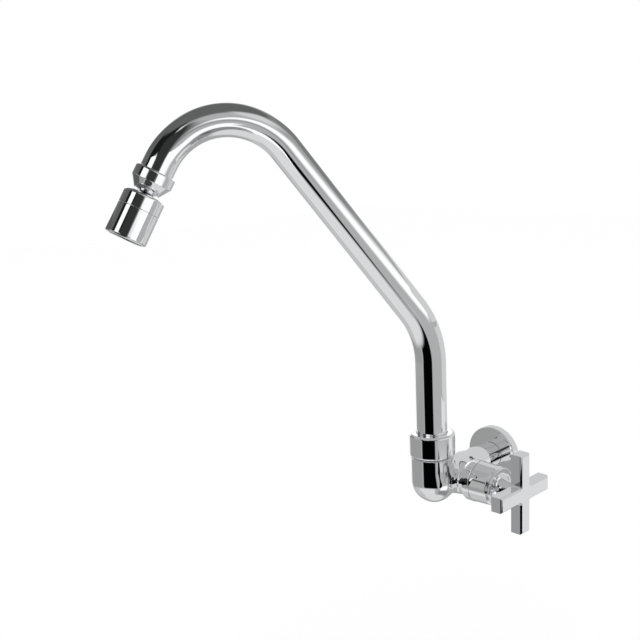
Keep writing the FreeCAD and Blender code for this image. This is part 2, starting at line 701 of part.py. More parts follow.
primitive(cross_handle, "SubtractiveCylinder", 0, 0, 0,
          Radius=d.spline_diameter / 2 + d.running_gap, Height=d.spline_depth + d.running_gap)
primitive(cross_handle, "SubtractiveCylinder", 0, 0, d.grub_offset, HANDLE_AXIS,
          Radius=d.grub_diameter / 2 + d.running_gap, Height=d.hub_base_diameter)

# The screw lies along the piece's own +X, which points down on the finished tap.
grub_start = d.spline_diameter / 2 + d.running_gap
grub_length = d.hub_base_diameter / 2 - hub_slope * (d.grub_offset + d.grub_diameter / 2) - grub_start
grub_screw = piece("handle_grub_screw", *on_handle_axis(hub_base))
primitive(grub_screw, "AdditiveCylinder", grub_start, 0, d.grub_offset, HANDLE_AXIS,
          Radius=d.grub_diameter / 2, Height=grub_length)
primitive(grub_screw, "SubtractivePrism", grub_start + grub_length / 2, 0, d.grub_offset, HANDLE_AXIS,
          Polygon=6, Circumradius=d.grub_socket / 2 / flat_share, Height=grub_length / 2)


# ---- Swinging joint: spigot, rings, slip rings and collar nut ------------------------------------
# Heights run up from the inlet axis.

SWING = f"rotation(vector(0; 0; 1); {d.swing_angle.text} - 90)"
spigot_foot = d.spigot_floor + d.slip_gap
spigot_flange = neck_top + d.slip_height + d.slip_gap
tube_foot = spigot_flange + d.spigot_flange_height
upper_slip = tube_foot + d.slip_gap
lip_start = upper_slip + d.slip_height
collar_start = d.elbow_top + d.seam_gap
collar_top = collar_start + d.collar_height
spigot_radius = d.spigot_diameter / 2
spigot_groove = spigot_radius - d.seal_section
seal_half = d.seal_section / 2 + d.running_gap
first_seal = spigot_foot + d.seal_first
second_seal = first_seal + d.seal_pitch
tube_inside = d.tube_diameter / 2 - d.tube_wall
spout_thread_radius = d.spout_thread / 2 + d.thread_gap
flange_reach = d.spigot_flange_diameter / 2

turned("spout_spigot", [
    (d.spigot_bore / 2, spigot_foot),
    (spigot_radius, spigot_foot),
    (spigot_radius, first_seal - seal_half),
    (spigot_groove, first_seal - seal_half),
    (spigot_groove, first_seal + seal_half),
    (spigot_radius, first_seal + seal_half),
    (spigot_radius, second_seal - seal_half),
    (spigot_groove, second_seal - seal_half),
    (spigot_groove, second_seal + seal_half),
    (spigot_radius, second_seal + seal_half),
    (spigot_radius, spigot_flange),
    (flange_reach, spigot_flange),
    (flange_reach, tube_foot),
    (tube_inside - d.running_gap, tube_foot),
    (tube_inside - d.running_gap, tube_foot + d.spigot_plug),
    (d.spigot_bore / 2, tube_foot + d.spigot_plug),
], 0, riser_y, 0)

spigot_rings = piece("spigot_rings", 0, riser_y, 0)
for height in (first_seal, second_seal):
    primitive(spigot_rings, "AdditiveTorus", 0, 0, height, Angle1=-180, Angle2=180, Angle3=360,
              Radius1=spigot_radius - d.seal_section / 2, Radius2=d.seal_section / 2)

turned("lower_slip_ring", tube_profile(
    spigot_socket, flange_reach, neck_top, neck_top + d.slip_height,
), 0, riser_y, 0)

turned("upper_slip_ring", tube_profile(
    d.tube_diameter / 2 + d.collar_lip_play, spout_thread_radius, upper_slip, lip_start,
), 0, riser_y, 0)

collar_radius = d.collar_diameter / 2
collar = turned("collar_nut", [
    (spout_thread_radius, collar_start),
    (collar_radius, collar_start),
    (collar_radius, collar_top),
    (d.tube_diameter / 2 + d.collar_lip_play, collar_top),
    (d.tube_diameter / 2 + d.collar_lip_play, lip_start),
    (spout_thread_radius, lip_start),
], 0, riser_y, 0)
round_rings(collar, [(collar_radius, collar_start), (collar_radius, collar_top)], d.collar_edge_radius)


# ---- Spout tube ----------------------------------------------------------------------------------
# The centre line lies in the tube's own upright plane: x runs outwards, y runs up from the foot.

outlet_angle = d.lean_angle + d.hook_angle
first_bend_start = (sized(0), d.riser_top - tube_foot)
first_bend_centre = (d.lean_radius, d.riser_top - tube_foot)
first_bend_end = (
    d.lean_radius - d.lean_radius * cosine(d.lean_angle),
    first_bend_start[1] + d.lean_radius * sine(d.lean_angle),
)
second_bend_start = (
    first_bend_end[0] + d.lean_length * sine(d.lean_angle),
    first_bend_end[1] + d.lean_length * cosine(d.lean_angle),
)
second_bend_centre = (
    second_bend_start[0] + d.hook_radius * cosine(d.lean_angle),
    second_bend_start[1] - d.hook_radius * sine(d.lean_angle),
)
second_bend_end = (
    second_bend_centre[0] - d.hook_radius * cosine(outlet_angle),
    second_bend_centre[1] + d.hook_radius * sine(outlet_angle),
)


def down_the_outlet(distance):
    """A point on the outlet axis, in the tube's plane, past the end of the top bend."""
    return (
        second_bend_end[0] + distance * sine(outlet_angle),
        second_bend_end[1] + distance * cosine(outlet_angle),
    )


def flat_point(point):
    return FreeCAD.Vector(point[0].value, point[1].value, 0)


def bend(centre, radius, start_turn, end_turn):
    """An arc of the centre line that leans outwards from one turn to the next."""
    circle = Part.Circle(flat_point(centre), FreeCAD.Vector(0, 0, 1), radius.value)
    return Part.ArcOfCircle(circle, math.radians(180 - end_turn), math.radians(180 - start_turn))


tube_end = down_the_outlet(d.outlet_run + d.tube_entry)
spout_tube = piece("spout_tube", 0, riser_y, tube_foot, SWING)
spine = sketch_on(spout_tube, "XZ_Plane", "centre_line")
spine.addGeometry(Part.LineSegment(FreeCAD.Vector(0, 0, 0), flat_point(first_bend_start)))
spine.addGeometry(bend(first_bend_centre, d.lean_radius, 0, d.lean_angle.value))
spine.addGeometry(Part.LineSegment(flat_point(first_bend_end), flat_point(second_bend_start)))
spine.addGeometry(bend(second_bend_centre, d.hook_radius, d.lean_angle.value, outlet_angle.value))
spine.addGeometry(Part.LineSegment(flat_point(second_bend_end), flat_point(tube_end)))
# An arc runs anticlockwise, so its first end is the one further down the tube.
for joint in ((0, 2, 1, 2), (1, 1, 2, 1), (2, 2, 3, 2), (3, 1, 4, 1)):
    spine.addConstraint(Sketcher.Constraint("Coincident", *joint))
spine.addConstraint(Sketcher.Constraint("Coincident", 0, 1, -1, 1))
for geometry, vertex, point in (
    (0, 2, first_bend_start), (2, 1, first_bend_end), (2, 2, second_bend_start),
    (4, 1, second_bend_end), (4, 2, tube_end),
):
    pin_point(spine, geometry, vertex, *point)
for geometry, radius in ((1, d.lean_radius), (3, d.hook_radius)):
    index = spine.addConstraint(Sketcher.Constraint("Radius", geometry, radius.value))
    spine.setExpression(f"Constraints[{index}]", radius.text)
section = sketch_on(spout_tube, "XY_Plane", "section")
for number, radius in enumerate((d.tube_diameter / 2, tube_inside)):
    section.addGeometry(Part.Circle(FreeCAD.Vector(0, 0, 0), FreeCAD.Vector(0, 0, 1), radius.value))
    section.addConstraint(Sketcher.Constraint("Coincident", number, 3, -1, 1))
    index = section.addConstraint(Sketcher.Constraint("Radius", number, radius.value))
    section.setExpression(f"Constraints[{index}]", radius.text)
sweep = spout_tube.newObject("PartDesign::AdditivePipe", "spout_tube_sweep")
sweep.Profile = section
sweep.Spine = (spine, ["Edge1", "Edge2", "Edge3", "Edge4", "Edge5"])
doc.recompute()


# ---- Outlet: ferrule, nut, seal, hard ring and swivel ball ---------------------------------------
# Heights run down the outlet axis from the nut's rim.

OUTLET_AXIS = f"{SWING} * rotation(vector(0; 1; 0); {outlet_angle.text})"
HEAD_AXIS = (f"{OUTLET_AXIS} * rotation(vector(0; 1; 0); {d.head_tilt.text})"
             f" * rotation(vector(1; 0; 0); {(-d.head_sway).text})")


def on_outlet_axis(distance, turn=OUTLET_AXIS):
    """Where an outlet piece starts, at a distance from the nut's rim, and how it is turned."""
    along, up = down_the_outlet(d.outlet_run + distance)
    x = along * sine(d.swing_angle)
    y = riser_y - along * cosine(d.swing_angle)
    return x, y, tube_foot + up, turn


nut_thread_radius = d.outlet_thread / 2 + d.thread_gap
ferrule_end = d.ferrule_recess + d.ferrule_length
seal_end = ferrule_end + d.ball_seal_height
hard_ring_start = seal_end + d.seat_ring_gap
hard_ring_end = hard_ring_start + d.seat_ring_height
ball_pocket = hard_ring_end + d.seat_ring_gap
ball_radius = d.ball_diameter / 2
pocket_radius = ball_radius + d.ball_play

turned("outlet_ferrule", [
    (d.tube_diameter / 2 + d.running_gap, d.ferrule_recess),
    (d.outlet_thread / 2, d.ferrule_recess),
    (d.outlet_thread / 2, ferrule_end),
    (d.ferrule_bore / 2, ferrule_end),
    (d.ferrule_bore / 2, d.tube_entry),
    (d.tube_diameter / 2 + d.running_gap, d.tube_entry),
], *on_outlet_axis(sized(0)))

outlet_nut = turned("outlet_nut", [
    (nut_thread_radius, 0),
    (d.outlet_nut_diameter / 2, 0),
    (d.outlet_nut_diameter / 2, d.outlet_nut_band),
    (d.outlet_nut_mouth / 2, d.outlet_nut_height),
    (0, d.outlet_nut_height),
    (0, ball_pocket),
    (nut_thread_radius, ball_pocket),
], *on_outlet_axis(sized(0)))
round_rings(outlet_nut, [(d.outlet_nut_diameter / 2, 0)], d.outlet_nut_edge_radius)
primitive(outlet_nut, "SubtractiveCylinder", 0, 0, 0, Radius=pocket_radius, Height=d.ball_depth)
primitive(outlet_nut, "SubtractiveSphere", 0, 0, d.ball_depth,
          Radius=pocket_radius, Angle1=-90, Angle2=90, Angle3=360)

turned("ball_seal", tube_profile(
    d.ferrule_bore / 2, d.outlet_thread / 2, ferrule_end, seal_end,
), *on_outlet_axis(sized(0)))

turned("ball_seat_ring", tube_profile(
    ball_radius, d.outlet_thread / 2 - d.seat_ring_gap, hard_ring_start, hard_ring_end,
), *on_outlet_axis(sized(0)))

ball_thread_end = d.ball_neck_length + d.ball_thread_length
swivel_ball = turned("swivel_ball", [
    (0, 0),
    (d.ball_neck_diameter / 2, 0),
    (d.ball_neck_diameter / 2, d.ball_neck_length),
    (d.ball_thread_diameter / 2, d.ball_neck_length),
    (d.ball_thread_diameter / 2, ball_thread_end),
    (0, ball_thread_end),
], *on_outlet_axis(d.ball_depth, HEAD_AXIS))
primitive(swivel_ball, "AdditiveSphere", Radius=ball_radius, Angle1=-90, Angle2=90, Angle3=360)
primitive(swivel_ball, "SubtractiveCylinder", 0, 0, -ball_radius,
          Radius=d.ball_bore / 2, Height=ball_radius + ball_thread_end)


# ---- Spray head: two shells and the insert that they hold ----------------------------------------
# Heights run from the ball's centre along the head's own axis.

def head_piece(label, corners):
    """A turned piece of the head; its heights are measured from the ball's centre."""
    return turned(label, corners, *on_outlet_axis(d.ball_depth, HEAD_AXIS))


head_radius = d.head_diameter / 2
head_end = d.head_start + d.head_length
dish_floor = d.head_start + d.head_dish_depth
crown_floor = dish_floor + d.head_crown
head_seam = d.head_start + d.head_cap_height
socket_radius = d.ball_thread_diameter / 2 + d.thread_gap
skirt_inside = head_radius - d.head_cap_wall
joint_start = head_seam - d.head_joint_length
shell_inside = head_radius - d.head_shell_wall

head_cap = head_piece("head_cap", [
    (socket_radius, dish_floor),
    (d.head_dish_diameter / 2, d.head_start),
    (head_radius, d.head_start),
    (head_radius, head_seam),
    (skirt_inside, head_seam),
    (skirt_inside, crown_floor),
    (socket_radius + d.head_socket_wall, crown_floor),
    (socket_radius + d.head_socket_wall, dish_floor + d.head_socket_depth),
    (socket_radius, dish_floor + d.head_socket_depth),
])
round_rings(head_cap, [(head_radius, d.head_start)], d.head_shoulder_radius)

head_shell = head_piece("head_shell", [
    (shell_inside, joint_start),
    (skirt_inside - d.thread_gap, joint_start),
    (skirt_inside - d.thread_gap, head_seam + d.seam_gap),
    (head_radius, head_seam + d.seam_gap),
    (head_radius, head_end),
    (head_radius - d.head_lip_width, head_end),
    (head_radius - d.head_lip_width, head_end - d.head_lip_height),
    (shell_inside, head_end - d.head_lip_height),
])
round_rings(head_shell, [(head_radius, head_end)], d.head_foot_radius)

cup_radius = shell_inside - d.insert_play
cup_end = head_end - d.head_lip_height
grid_start = cup_end - d.honeycomb_height
grid_radius = cup_radius - d.insert_wall
cup_start = joint_start + d.gasket_height
plate_end = cup_start + d.plate_height

head_piece("head_gasket", tube_profile(
    grid_radius - d.insert_wall, cup_radius, joint_start, cup_start,
))

head_piece("insert_cup", tube_profile(grid_radius, cup_radius, plate_end, cup_end))

perforated_plate = head_piece("perforated_plate", [
    (0, cup_start), (cup_radius, cup_start), (cup_radius, plate_end), (0, plate_end),
])
plate_cut = primitive(perforated_plate, "SubtractiveCylinder", d.plate_circle / 2, 0, cup_start,
                      Radius=d.plate_hole / 2, Height=d.plate_height)
doc.recompute()
polar_copies(perforated_plate, plate_cut, PLATE_HOLES)

screens = piece("wire_screens", *on_outlet_axis(d.ball_depth, HEAD_AXIS))
for number in (1, 2):
    primitive(screens, "AdditiveCylinder", 0, 0, grid_start - number * d.screen_pitch,
              Radius=grid_radius - d.running_gap, Height=d.screen_height)

honeycomb = head_piece("outlet_grid", [
    (0, grid_start), (grid_radius - d.running_gap, grid_start),
    (grid_radius - d.running_gap, cup_end), (0, cup_end),
])
primitive(honeycomb, "SubtractiveCylinder", 0, 0, grid_start,
          Radius=d.honeycomb_hole / 2, Height=d.honeycomb_height)
for ring in range(1, CELL_RINGS + 1):
    cell = primitive(honeycomb, "SubtractiveCylinder", ring * d.honeycomb_pitch, 0, grid_start,
                     Radius=d.honeycomb_hole / 2, Height=d.honeycomb_height)
    doc.recompute()
    polar_copies(honeycomb, cell, 6 * ring)


# ---- Check and write -----------------------------------------------------------------------------

doc.recompute()
for item in doc.Objects:
    if "Invalid" in item.State or "Error" in item.State:
        raise RuntimeError(f"{item.Name} did not build: {item.State}")
for body in subparts:
    if body.Shape.isNull() or not body.Shape.isValid() or not body.Shape.Solids:
        raise RuntimeError(f"{body.Label} has no sound solid")

os.makedirs("parts", exist_ok=True)
for body in subparts:
    body.Shape.exportStep(f"parts/{body.Label}.step")
    print(body.Label, len(body.Shape.Solids), round(body.Shape.Volume, 1))
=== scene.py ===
import bpy
import bmesh
import json
import math
import numpy as np
from mathutils import Matrix, Vector


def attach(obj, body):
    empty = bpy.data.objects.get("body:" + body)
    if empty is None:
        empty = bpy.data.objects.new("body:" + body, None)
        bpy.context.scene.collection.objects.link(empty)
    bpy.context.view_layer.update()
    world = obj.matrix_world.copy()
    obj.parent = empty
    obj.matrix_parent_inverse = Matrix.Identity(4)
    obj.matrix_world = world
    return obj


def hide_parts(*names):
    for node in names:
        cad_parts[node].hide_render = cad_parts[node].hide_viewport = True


# A wall-mounted single tap in bright chrome, in metres: +Y goes into the wall, +Z is up and +X is the side of
# the cross handle. The origin is the middle of the wall flange's back face.

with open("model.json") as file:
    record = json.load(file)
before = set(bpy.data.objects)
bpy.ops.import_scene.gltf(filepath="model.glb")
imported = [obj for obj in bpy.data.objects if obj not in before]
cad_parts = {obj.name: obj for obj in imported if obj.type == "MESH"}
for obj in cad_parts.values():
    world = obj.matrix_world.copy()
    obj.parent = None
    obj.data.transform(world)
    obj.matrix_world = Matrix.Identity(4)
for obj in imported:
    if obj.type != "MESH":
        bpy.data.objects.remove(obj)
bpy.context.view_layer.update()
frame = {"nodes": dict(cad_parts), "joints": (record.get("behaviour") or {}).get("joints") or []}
joints = {joint["name"]: joint for joint in frame["joints"]}


# ---- Studio --------------------------------------------------------------------------------------
# The tap hangs free in a white studio, over a pale floor. Dark screens stand round the camera, as they do in
# product photographs of chrome, and show in the metal only.

CAMERA_PLACE = Vector((0.40904, -0.57890, 0.25601))
CAMERA_AZIMUTH = math.radians(46.09)
CAMERA_ELEVATION = math.radians(11.70)
CAMERA_ROLL = math.radians(-2.63)
LENS = 52.52
FLOOR_DROP = 0.16
FLOOR_HALF = 3.0

towards_camera = Vector((
    math.sin(CAMERA_AZIMUTH) * math.cos(CAMERA_ELEVATION),
    -math.cos(CAMERA_AZIMUTH) * math.cos(CAMERA_ELEVATION),
    math.sin(CAMERA_ELEVATION),
))
level_right = Vector((math.cos(CAMERA_AZIMUTH), math.sin(CAMERA_AZIMUTH), 0))
level_up = towards_camera.cross(level_right)
camera_right = level_right * math.cos(CAMERA_ROLL) + level_up * math.sin(CAMERA_ROLL)
camera_up = level_up * math.cos(CAMERA_ROLL) - level_right * math.sin(CAMERA_ROLL)
camera = bpy.data.objects.new("camera", bpy.data.cameras.new("camera"))
camera.data.lens = LENS
camera.matrix_world = Matrix.Translation(CAMERA_PLACE) @ Matrix(
    (camera_right, camera_up, towards_camera)).transposed().to_4x4()
bpy.context.collection.objects.link(camera)
bpy.context.scene.camera = camera
bpy.context.scene.view_settings.view_transform = "Standard"


def linear(colour):
    """The linear colour of an sRGB hex value."""
    levels = [int(colour[index:index + 2], 16) / 255 for index in (1, 3, 5)]
    return [
        level / 12.92 if level <= 0.04045 else ((level + 0.055) / 1.055) ** 2.4
        for level in levels
    ] + [1.0]


def add_node(tree, kind, settings=None, values=None, links=None):
    """Add a shader or geometry node, with its settings, its input values and its input links."""
    node = tree.nodes.new(kind)
    for name, setting in (settings or {}).items():
        setattr(node, name, setting)
    for name, value in (values or {}).items():
        node.inputs[name].default_value = value
    for name, socket in (links or {}).items():
        tree.links.new(socket, node.inputs[name])
    return node


def new_material(name):
    """A material, its node tree and its one shader."""
    material = bpy.data.materials.new(name)
    material.use_nodes = True
    return material, material.node_tree, material.node_tree.nodes["Principled BSDF"]


# Everything but metal sees one even white. Metal mirrors the grey walls, the white panels and the black
# screens of the studio. Each is a strength of light, an azimuth to the right of the camera and a half width,
# an elevation and a half height, a soft edge, and how far it leans to the right with height, in degrees.
ROOM = 0.46
STUDIO = {
    "ceiling": (0.13, 0, 360, 75, 29, 7, 0),
    "wall on the left": (0.12, -100, 36, 42, 24, 6, 0),
    "lower wall on the left": (0.17, -125, 22, 8, 17, 7, 0),
    "wall on the right": (0.21, 118, 27, 33, 14, 6, 0),
    "table edge on the left": (0.35, -106, 42, -24, 9, 4, 0),
    "table on the left": (0.58, -130, 40, -48, 15, 5, 0),
    "table in front": (0.77, -48, 46, -52, 18, 4, 0),
    "table on the right": (0.27, 58, 44, -54, 12, 8, 0),
    "table behind": (0.41, 160, 45, -44, 14, 6, 0),
    "paper below": (0.74, 0, 360, -82, 17, 4, 0),
    "reflector behind": (0.96, -168, 18, -17, 12, 6, 0),
    "lamp behind": (1.15, 183, 37, 15, 20, 7, 0),
    "upper lamp on the right": (0.69, 56, 20, 38, 12, 7, 0),
    "gap between the lamps": (0.37, 78, 20, 27, 5, 5, 0),
    "lamp on the right": (1.15, 55, 34, 10, 8, 5, 2.0),
    "low lamp on the right": (1.15, 46, 22, -31, 9, 4, 0),
    "black screen": (0.001, -28, 33, -9, 22, 2.5, -0.3),
    "upper black screen": (0.01, -42, 36, 34, 18, 4, 0),
    "dark screen at the camera": (0.035, -1, 18, 17, 22, 6, -0.45),
    "window in the screen": (1.15, -38, 15, 21, 7, 3, -1.0),
    "small lamp in the screen": (0.8, -7, 3.5, 41, 3.5, 1.5, 0),
}

world = bpy.data.worlds.new("studio")
bpy.context.scene.world = world
world.use_nodes = True
sky = world.node_tree
sky.nodes.clear()
towards = add_node(sky, "ShaderNodeTexCoord")
parts = add_node(sky, "ShaderNodeSeparateXYZ", links={0: towards.outputs["Generated"]})
back = add_node(sky, "ShaderNodeMath", {"operation": "MULTIPLY"}, {1: -1.0}, {0: parts.outputs["Y"]})
turn = add_node(sky, "ShaderNodeMath", {"operation": "ARCTAN2"}, links={
    0: parts.outputs["X"], 1: back.outputs[0]})
rise = add_node(sky, "ShaderNodeMath", {"operation": "ARCSINE"}, links={0: parts.outputs["Z"]})
azimuth = add_node(sky, "ShaderNodeMath", {"operation": "DEGREES"}, links={0: turn.outputs[0]})
elevation = add_node(sky, "ShaderNodeMath", {"operation": "DEGREES"}, links={0: rise.outputs[0]})
mirrored = add_node(sky, "ShaderNodeValue")
mirrored.outputs[0].default_value = ROOM
for name, (strength, right, half_width, up, half_height, softness, lean) in STUDIO.items():
    start = math.degrees(CAMERA_AZIMUTH) + right - lean * up
    leaned = add_node(sky, "ShaderNodeMath", {"operation": "MULTIPLY_ADD"}, {1: -lean, 2: -start}, {
        0: elevation.outputs[0]})
    offset = add_node(sky, "ShaderNodeMath", {"operation": "ADD"}, links={
        0: leaned.outputs[0], 1: azimuth.outputs[0]})
    around = add_node(sky, "ShaderNodeMath", {"operation": "WRAP"}, {1: 180.0, 2: -180.0}, {
        0: offset.outputs[0]})
    above = add_node(sky, "ShaderNodeMath", {"operation": "SUBTRACT"}, {1: up}, {0: elevation.outputs[0]})
    inside = []
    for distance, half in ((around, half_width), (above, half_height)):
        aside = add_node(sky, "ShaderNodeMath", {"operation": "ABSOLUTE"}, links={0: distance.outputs[0]})
        inside.append(add_node(
            sky, "ShaderNodeMapRange", {"interpolation_type": "SMOOTHSTEP", "label": name},
            {"From Min": half + softness, "From Max": half - softness}, {"Value": aside.outputs[0]}))
    share = add_node(sky, "ShaderNodeMath", {"operation": "MULTIPLY"}, links={
        0: inside[0].outputs[0], 1: inside[1].outputs[0]})
    mirrored = add_node(sky, "ShaderNodeMix", values={"B": strength}, links={
        "Factor": share.outputs[0], "A": mirrored.outputs[0]})
ray = add_node(sky, "ShaderNodeLightPath")
seen = add_node(sky, "ShaderNodeBackground", values={"Strength": 1.0, "Color": (1, 1, 1, 1)})
lit = add_node(sky, "ShaderNodeBackground", values={"Strength": 0.85, "Color": (1, 1, 1, 1)})
shown = add_node(sky, "ShaderNodeBackground", values={"Color": (1, 1, 1, 1)}, links={
    "Strength": mirrored.outputs[0]})
for_metal = add_node(sky, "ShaderNodeMixShader", links={
    0: ray.outputs["Is Glossy Ray"], 1: lit.outputs[0], 2: shown.outputs[0]})
for_camera = add_node(sky, "ShaderNodeMixShader", links={
    0: ray.outputs["Is Camera Ray"], 1: for_metal.outputs[0], 2: seen.outputs[0]})
add_node(sky, "ShaderNodeOutputWorld", links={"Surface": for_camera.outputs[0]})

# Matt white paper lies under the tap. To the camera its lit parts are as white as the background, and the
# tap's shadow stays; the metal mirrors the studio's table instead.
PAPER_GLOW = 0.22
floor_material, tree, shader = new_material("white studio paper")
shader.inputs["Base Color"].default_value = linear("#F8F8F8")
shader.inputs["Roughness"].default_value = 0.9
path = add_node(tree, "ShaderNodeLightPath")
glow = add_node(tree, "ShaderNodeMath", {"operation": "MULTIPLY"}, {1: PAPER_GLOW}, {
    0: path.outputs["Is Camera Ray"]})
shader.inputs["Emission Color"].default_value = (1, 1, 1, 1)
tree.links.new(glow.outputs[0], shader.inputs["Emission Strength"])
floor_mesh = bpy.data.meshes.new("studio_floor")
SQUARE = [(-1, -1), (1, -1), (1, 1), (-1, 1)]
floor_mesh.from_pydata([(FLOOR_HALF * x, FLOOR_HALF * y, -FLOOR_DROP) for x, y in SQUARE], [], [(0, 1, 2, 3)])
floor_mesh.materials.append(floor_material)
studio_floor = bpy.data.objects.new("studio_floor", floor_mesh)
studio_floor.visible_glossy = False
bpy.context.collection.objects.link(studio_floor)

# Small cards stand close to the tap and show in the metal only, from their front. Each is a strength of
# light, its middle, where it faces, its long way, and its length and width.
CARDS = {
    "card_over_valve": (0.46, (-0.01, -0.14, 0.12), (0, 0, -1), (1, 0, 0), 0.38, 0.32),
    "card_behind_valve": (0.66, (0.06, 0.12, 0.10), (0, -1, 0), (1, 0, 0), 0.38, 0.24),
    "card_beside_handle": (0.80, (0.124, 0.043, -0.045), (-0.51, -0.77, 0.37), (-0.77, 0.51, 0), 0.13, 0.11),
    "dark_card_at_handle": (
        0.002, (0.2125, -0.153, -0.082), (-0.75, 0.49, 0.37), (0, 0.6, 0.8), 0.055, 0.045),
    "card_right_of_head": (1.1, (0.02, -0.26, 0.18), (-0.9, -0.43, 0), (0.14, 0.48, 0.86), 0.10, 0.07),
    "card_before_head": (1.15, (-0.084, -0.36, 0.264), (-0.13, 0.84, -0.53), (0.14, 0.48, 0.86), 0.08, 0.046),
    "dark_card_under_nut": (0.05, (-0.0885, -0.30, 0.175), (0, 0.67, 0.74), (1, 0, 0), 0.045, 0.034),
    "grey_card_left_of_nut": (0.11, (-0.136, -0.28, 0.212), (0.78, 0.57, 0.24), (0, 0, 1), 0.03, 0.05),
}
for name, (strength, middle, facing, long_way, length, width) in CARDS.items():
    card_material, tree, shader = new_material(name.replace("_", " "))
    sides = add_node(tree, "ShaderNodeNewGeometry")
    front = add_node(tree, "ShaderNodeMath", {"operation": "SUBTRACT"}, {0: 1.0}, {
        1: sides.outputs["Backfacing"]})
    tree.links.new(front.outputs[0], shader.inputs["Alpha"])
    shader.inputs["Base Color"].default_value = (0, 0, 0, 1)
    shader.inputs["Specular IOR Level"].default_value = 0.0
    shader.inputs["Emission Color"].default_value = (1, 1, 1, 1)
    shader.inputs["Emission Strength"].default_value = strength
    short_way = Vector(facing).cross(Vector(long_way)).normalized() * width / 2
    long_way = short_way.cross(Vector(facing)).normalized() * length / 2
    card_mesh = bpy.data.meshes.new(name)
    card_mesh.from_pydata([
        Vector(middle) + one * long_way + other * short_way for one, other in SQUARE
    ], [], [(0, 1, 2, 3)])
    card_mesh.materials.append(card_material)
    card = bpy.data.objects.new(name, card_mesh)
    card.visible_camera = False
    card.visible_diffuse = False
    card.visible_shadow = False
    card.visible_transmission = False
    bpy.context.collection.objects.link(card)


# ---- Inlet nipple --------------------------------------------------------------------------------
# A turned brass nipple with a G1/2 thread on its tail, which screws into the connection in the wall. Its
# plain neck between flange and body is plated; the threads are cut after plating and show brass.

THREAD_RADIUS = 0.0104775
THREAD_PITCH = 0.001814
THREAD_DEPTH = 0.00116
TAIL_LENGTH = 0.014
NECK_RADIUS = 0.0093
NIPPLE_BORE = 0.0065
NECK_END = 0.0195
THREAD_FLAT = 1 / 7
THREAD_STEPS = 10
THREAD_SIDES = 96
EDGE = 0.00015
ROUND_STEP = math.radians(7)
CORNER_SHARE = 0.62
GUARD = 0.0002
SAME_PLACE = 1e-9


def profile_points(corners):
    """Points round a closed profile of (radius, height[, rounding]) corners, with an arc at each."""
    points = []
    for index, corner in enumerate(corners):
        here = Vector(corner[:2])
        rounding = corner[2] if len(corner) > 2 else EDGE
        if here.x < SAME_PLACE or rounding == 0:
            points.append(here)
            continue
        before = Vector(corners[index - 1][:2]) - here
        after = Vector(corners[(index + 1) % len(corners)][:2]) - here
        half = before.angle(after) / 2
        reach = min(rounding / math.tan(half), CORNER_SHARE * before.length, CORNER_SHARE * after.length)
        radius = reach * math.tan(half)
        before.normalize()
        after.normalize()
        middle = here + (before + after).normalized() * radius / math.sin(half)
        start = here + before * reach - middle
        turn = start.angle_signed(here + after * reach - middle)
        steps = max(2, math.ceil(abs(turn) / ROUND_STEP))
        guard = min(GUARD, reach)
        points.append(here + before * (reach + guard))
        for step in range(steps + 1):
            spin = Matrix.Rotation(-turn * step / steps, 2)
            points.append(middle + spin @ start)
        points.append(here + after * (reach + guard))
    return points


def along(start, axis):
    """The place of a piece whose own Z runs from a start along an axis."""
    return Matrix.Translation(start) @ Vector(axis).to_track_quat("Z", "Y").to_matrix().to_4x4()


def new_piece(name, mesh, place=None):
    """A smooth object at the origin from a bmesh, with its place in its mesh and its faces outwards."""
    bmesh.ops.remove_doubles(mesh, verts=mesh.verts, dist=1e-7)
    bmesh.ops.recalc_face_normals(mesh, faces=mesh.faces)
    if place is not None:
        mesh.transform(place)
    data = bpy.data.meshes.new(name)
    mesh.to_mesh(data)
    mesh.free()
    data.shade_smooth()
    piece = bpy.data.objects.new(name, data)
    bpy.context.collection.objects.link(piece)
    return piece


def joined(mesh, rows):
    """Join rings of points, all of one count, into a closed skin; a pole is one point repeated."""
    sides = len(rows[0])
    for low, high in zip(rows, rows[1:] + rows[:1]):
        for side in range(sides):
            next_side = (side + 1) % sides
            around = list(dict.fromkeys((low[side], low[next_side], high[next_side], high[side])))
            if len(around) > 2:
                mesh.faces.new(around)
    return mesh


def spun(points, sides=144):
    """A bmesh that turns a closed profile of points about Z."""
    mesh = bmesh.new()
    rows = []
    for radius, height in points:
        if radius < SAME_PLACE:
            rows.append([mesh.verts.new((0, 0, height))] * sides)
            continue
        turns = [math.tau * side / sides for side in range(sides)]
        rows.append([mesh.verts.new((radius * math.cos(t), radius * math.sin(t), height)) for t in turns])
    return joined(mesh, rows)


def turned(name, corners, place, sides=144):
    """A turned piece from the corners of its profile."""
    return new_piece(name, spun(profile_points(corners), sides), place)


def grained(name, colour, roughness, grain, relief, metallic=0.0):
    """A material whose fine grain, of a real size and relief in metres, breaks its gloss."""
    material, tree, shader = new_material(name)
    coords = add_node(tree, "ShaderNodeTexCoord")
    noise = add_node(tree, "ShaderNodeTexNoise", values={"Scale": 1 / grain, "Detail": 3.0}, links={
        "Vector": coords.outputs["Object"]})
    spread = {"To Min": roughness * 0.7, "To Max": roughness * 1.3}
    gloss = add_node(tree, "ShaderNodeMapRange", values=spread, links={"Value": noise.outputs[0]})
    bump = add_node(tree, "ShaderNodeBump", values={"Distance": relief}, links={"Height": noise.outputs[0]})
    tree.links.new(gloss.outputs[0], shader.inputs["Roughness"])
    tree.links.new(bump.outputs[0], shader.inputs["Normal"])
    shader.inputs["Base Color"].default_value = linear(colour)
    shader.inputs["Metallic"].default_value = metallic
    return material


INLET = along((0, 0, 0), (0, -1, 0))

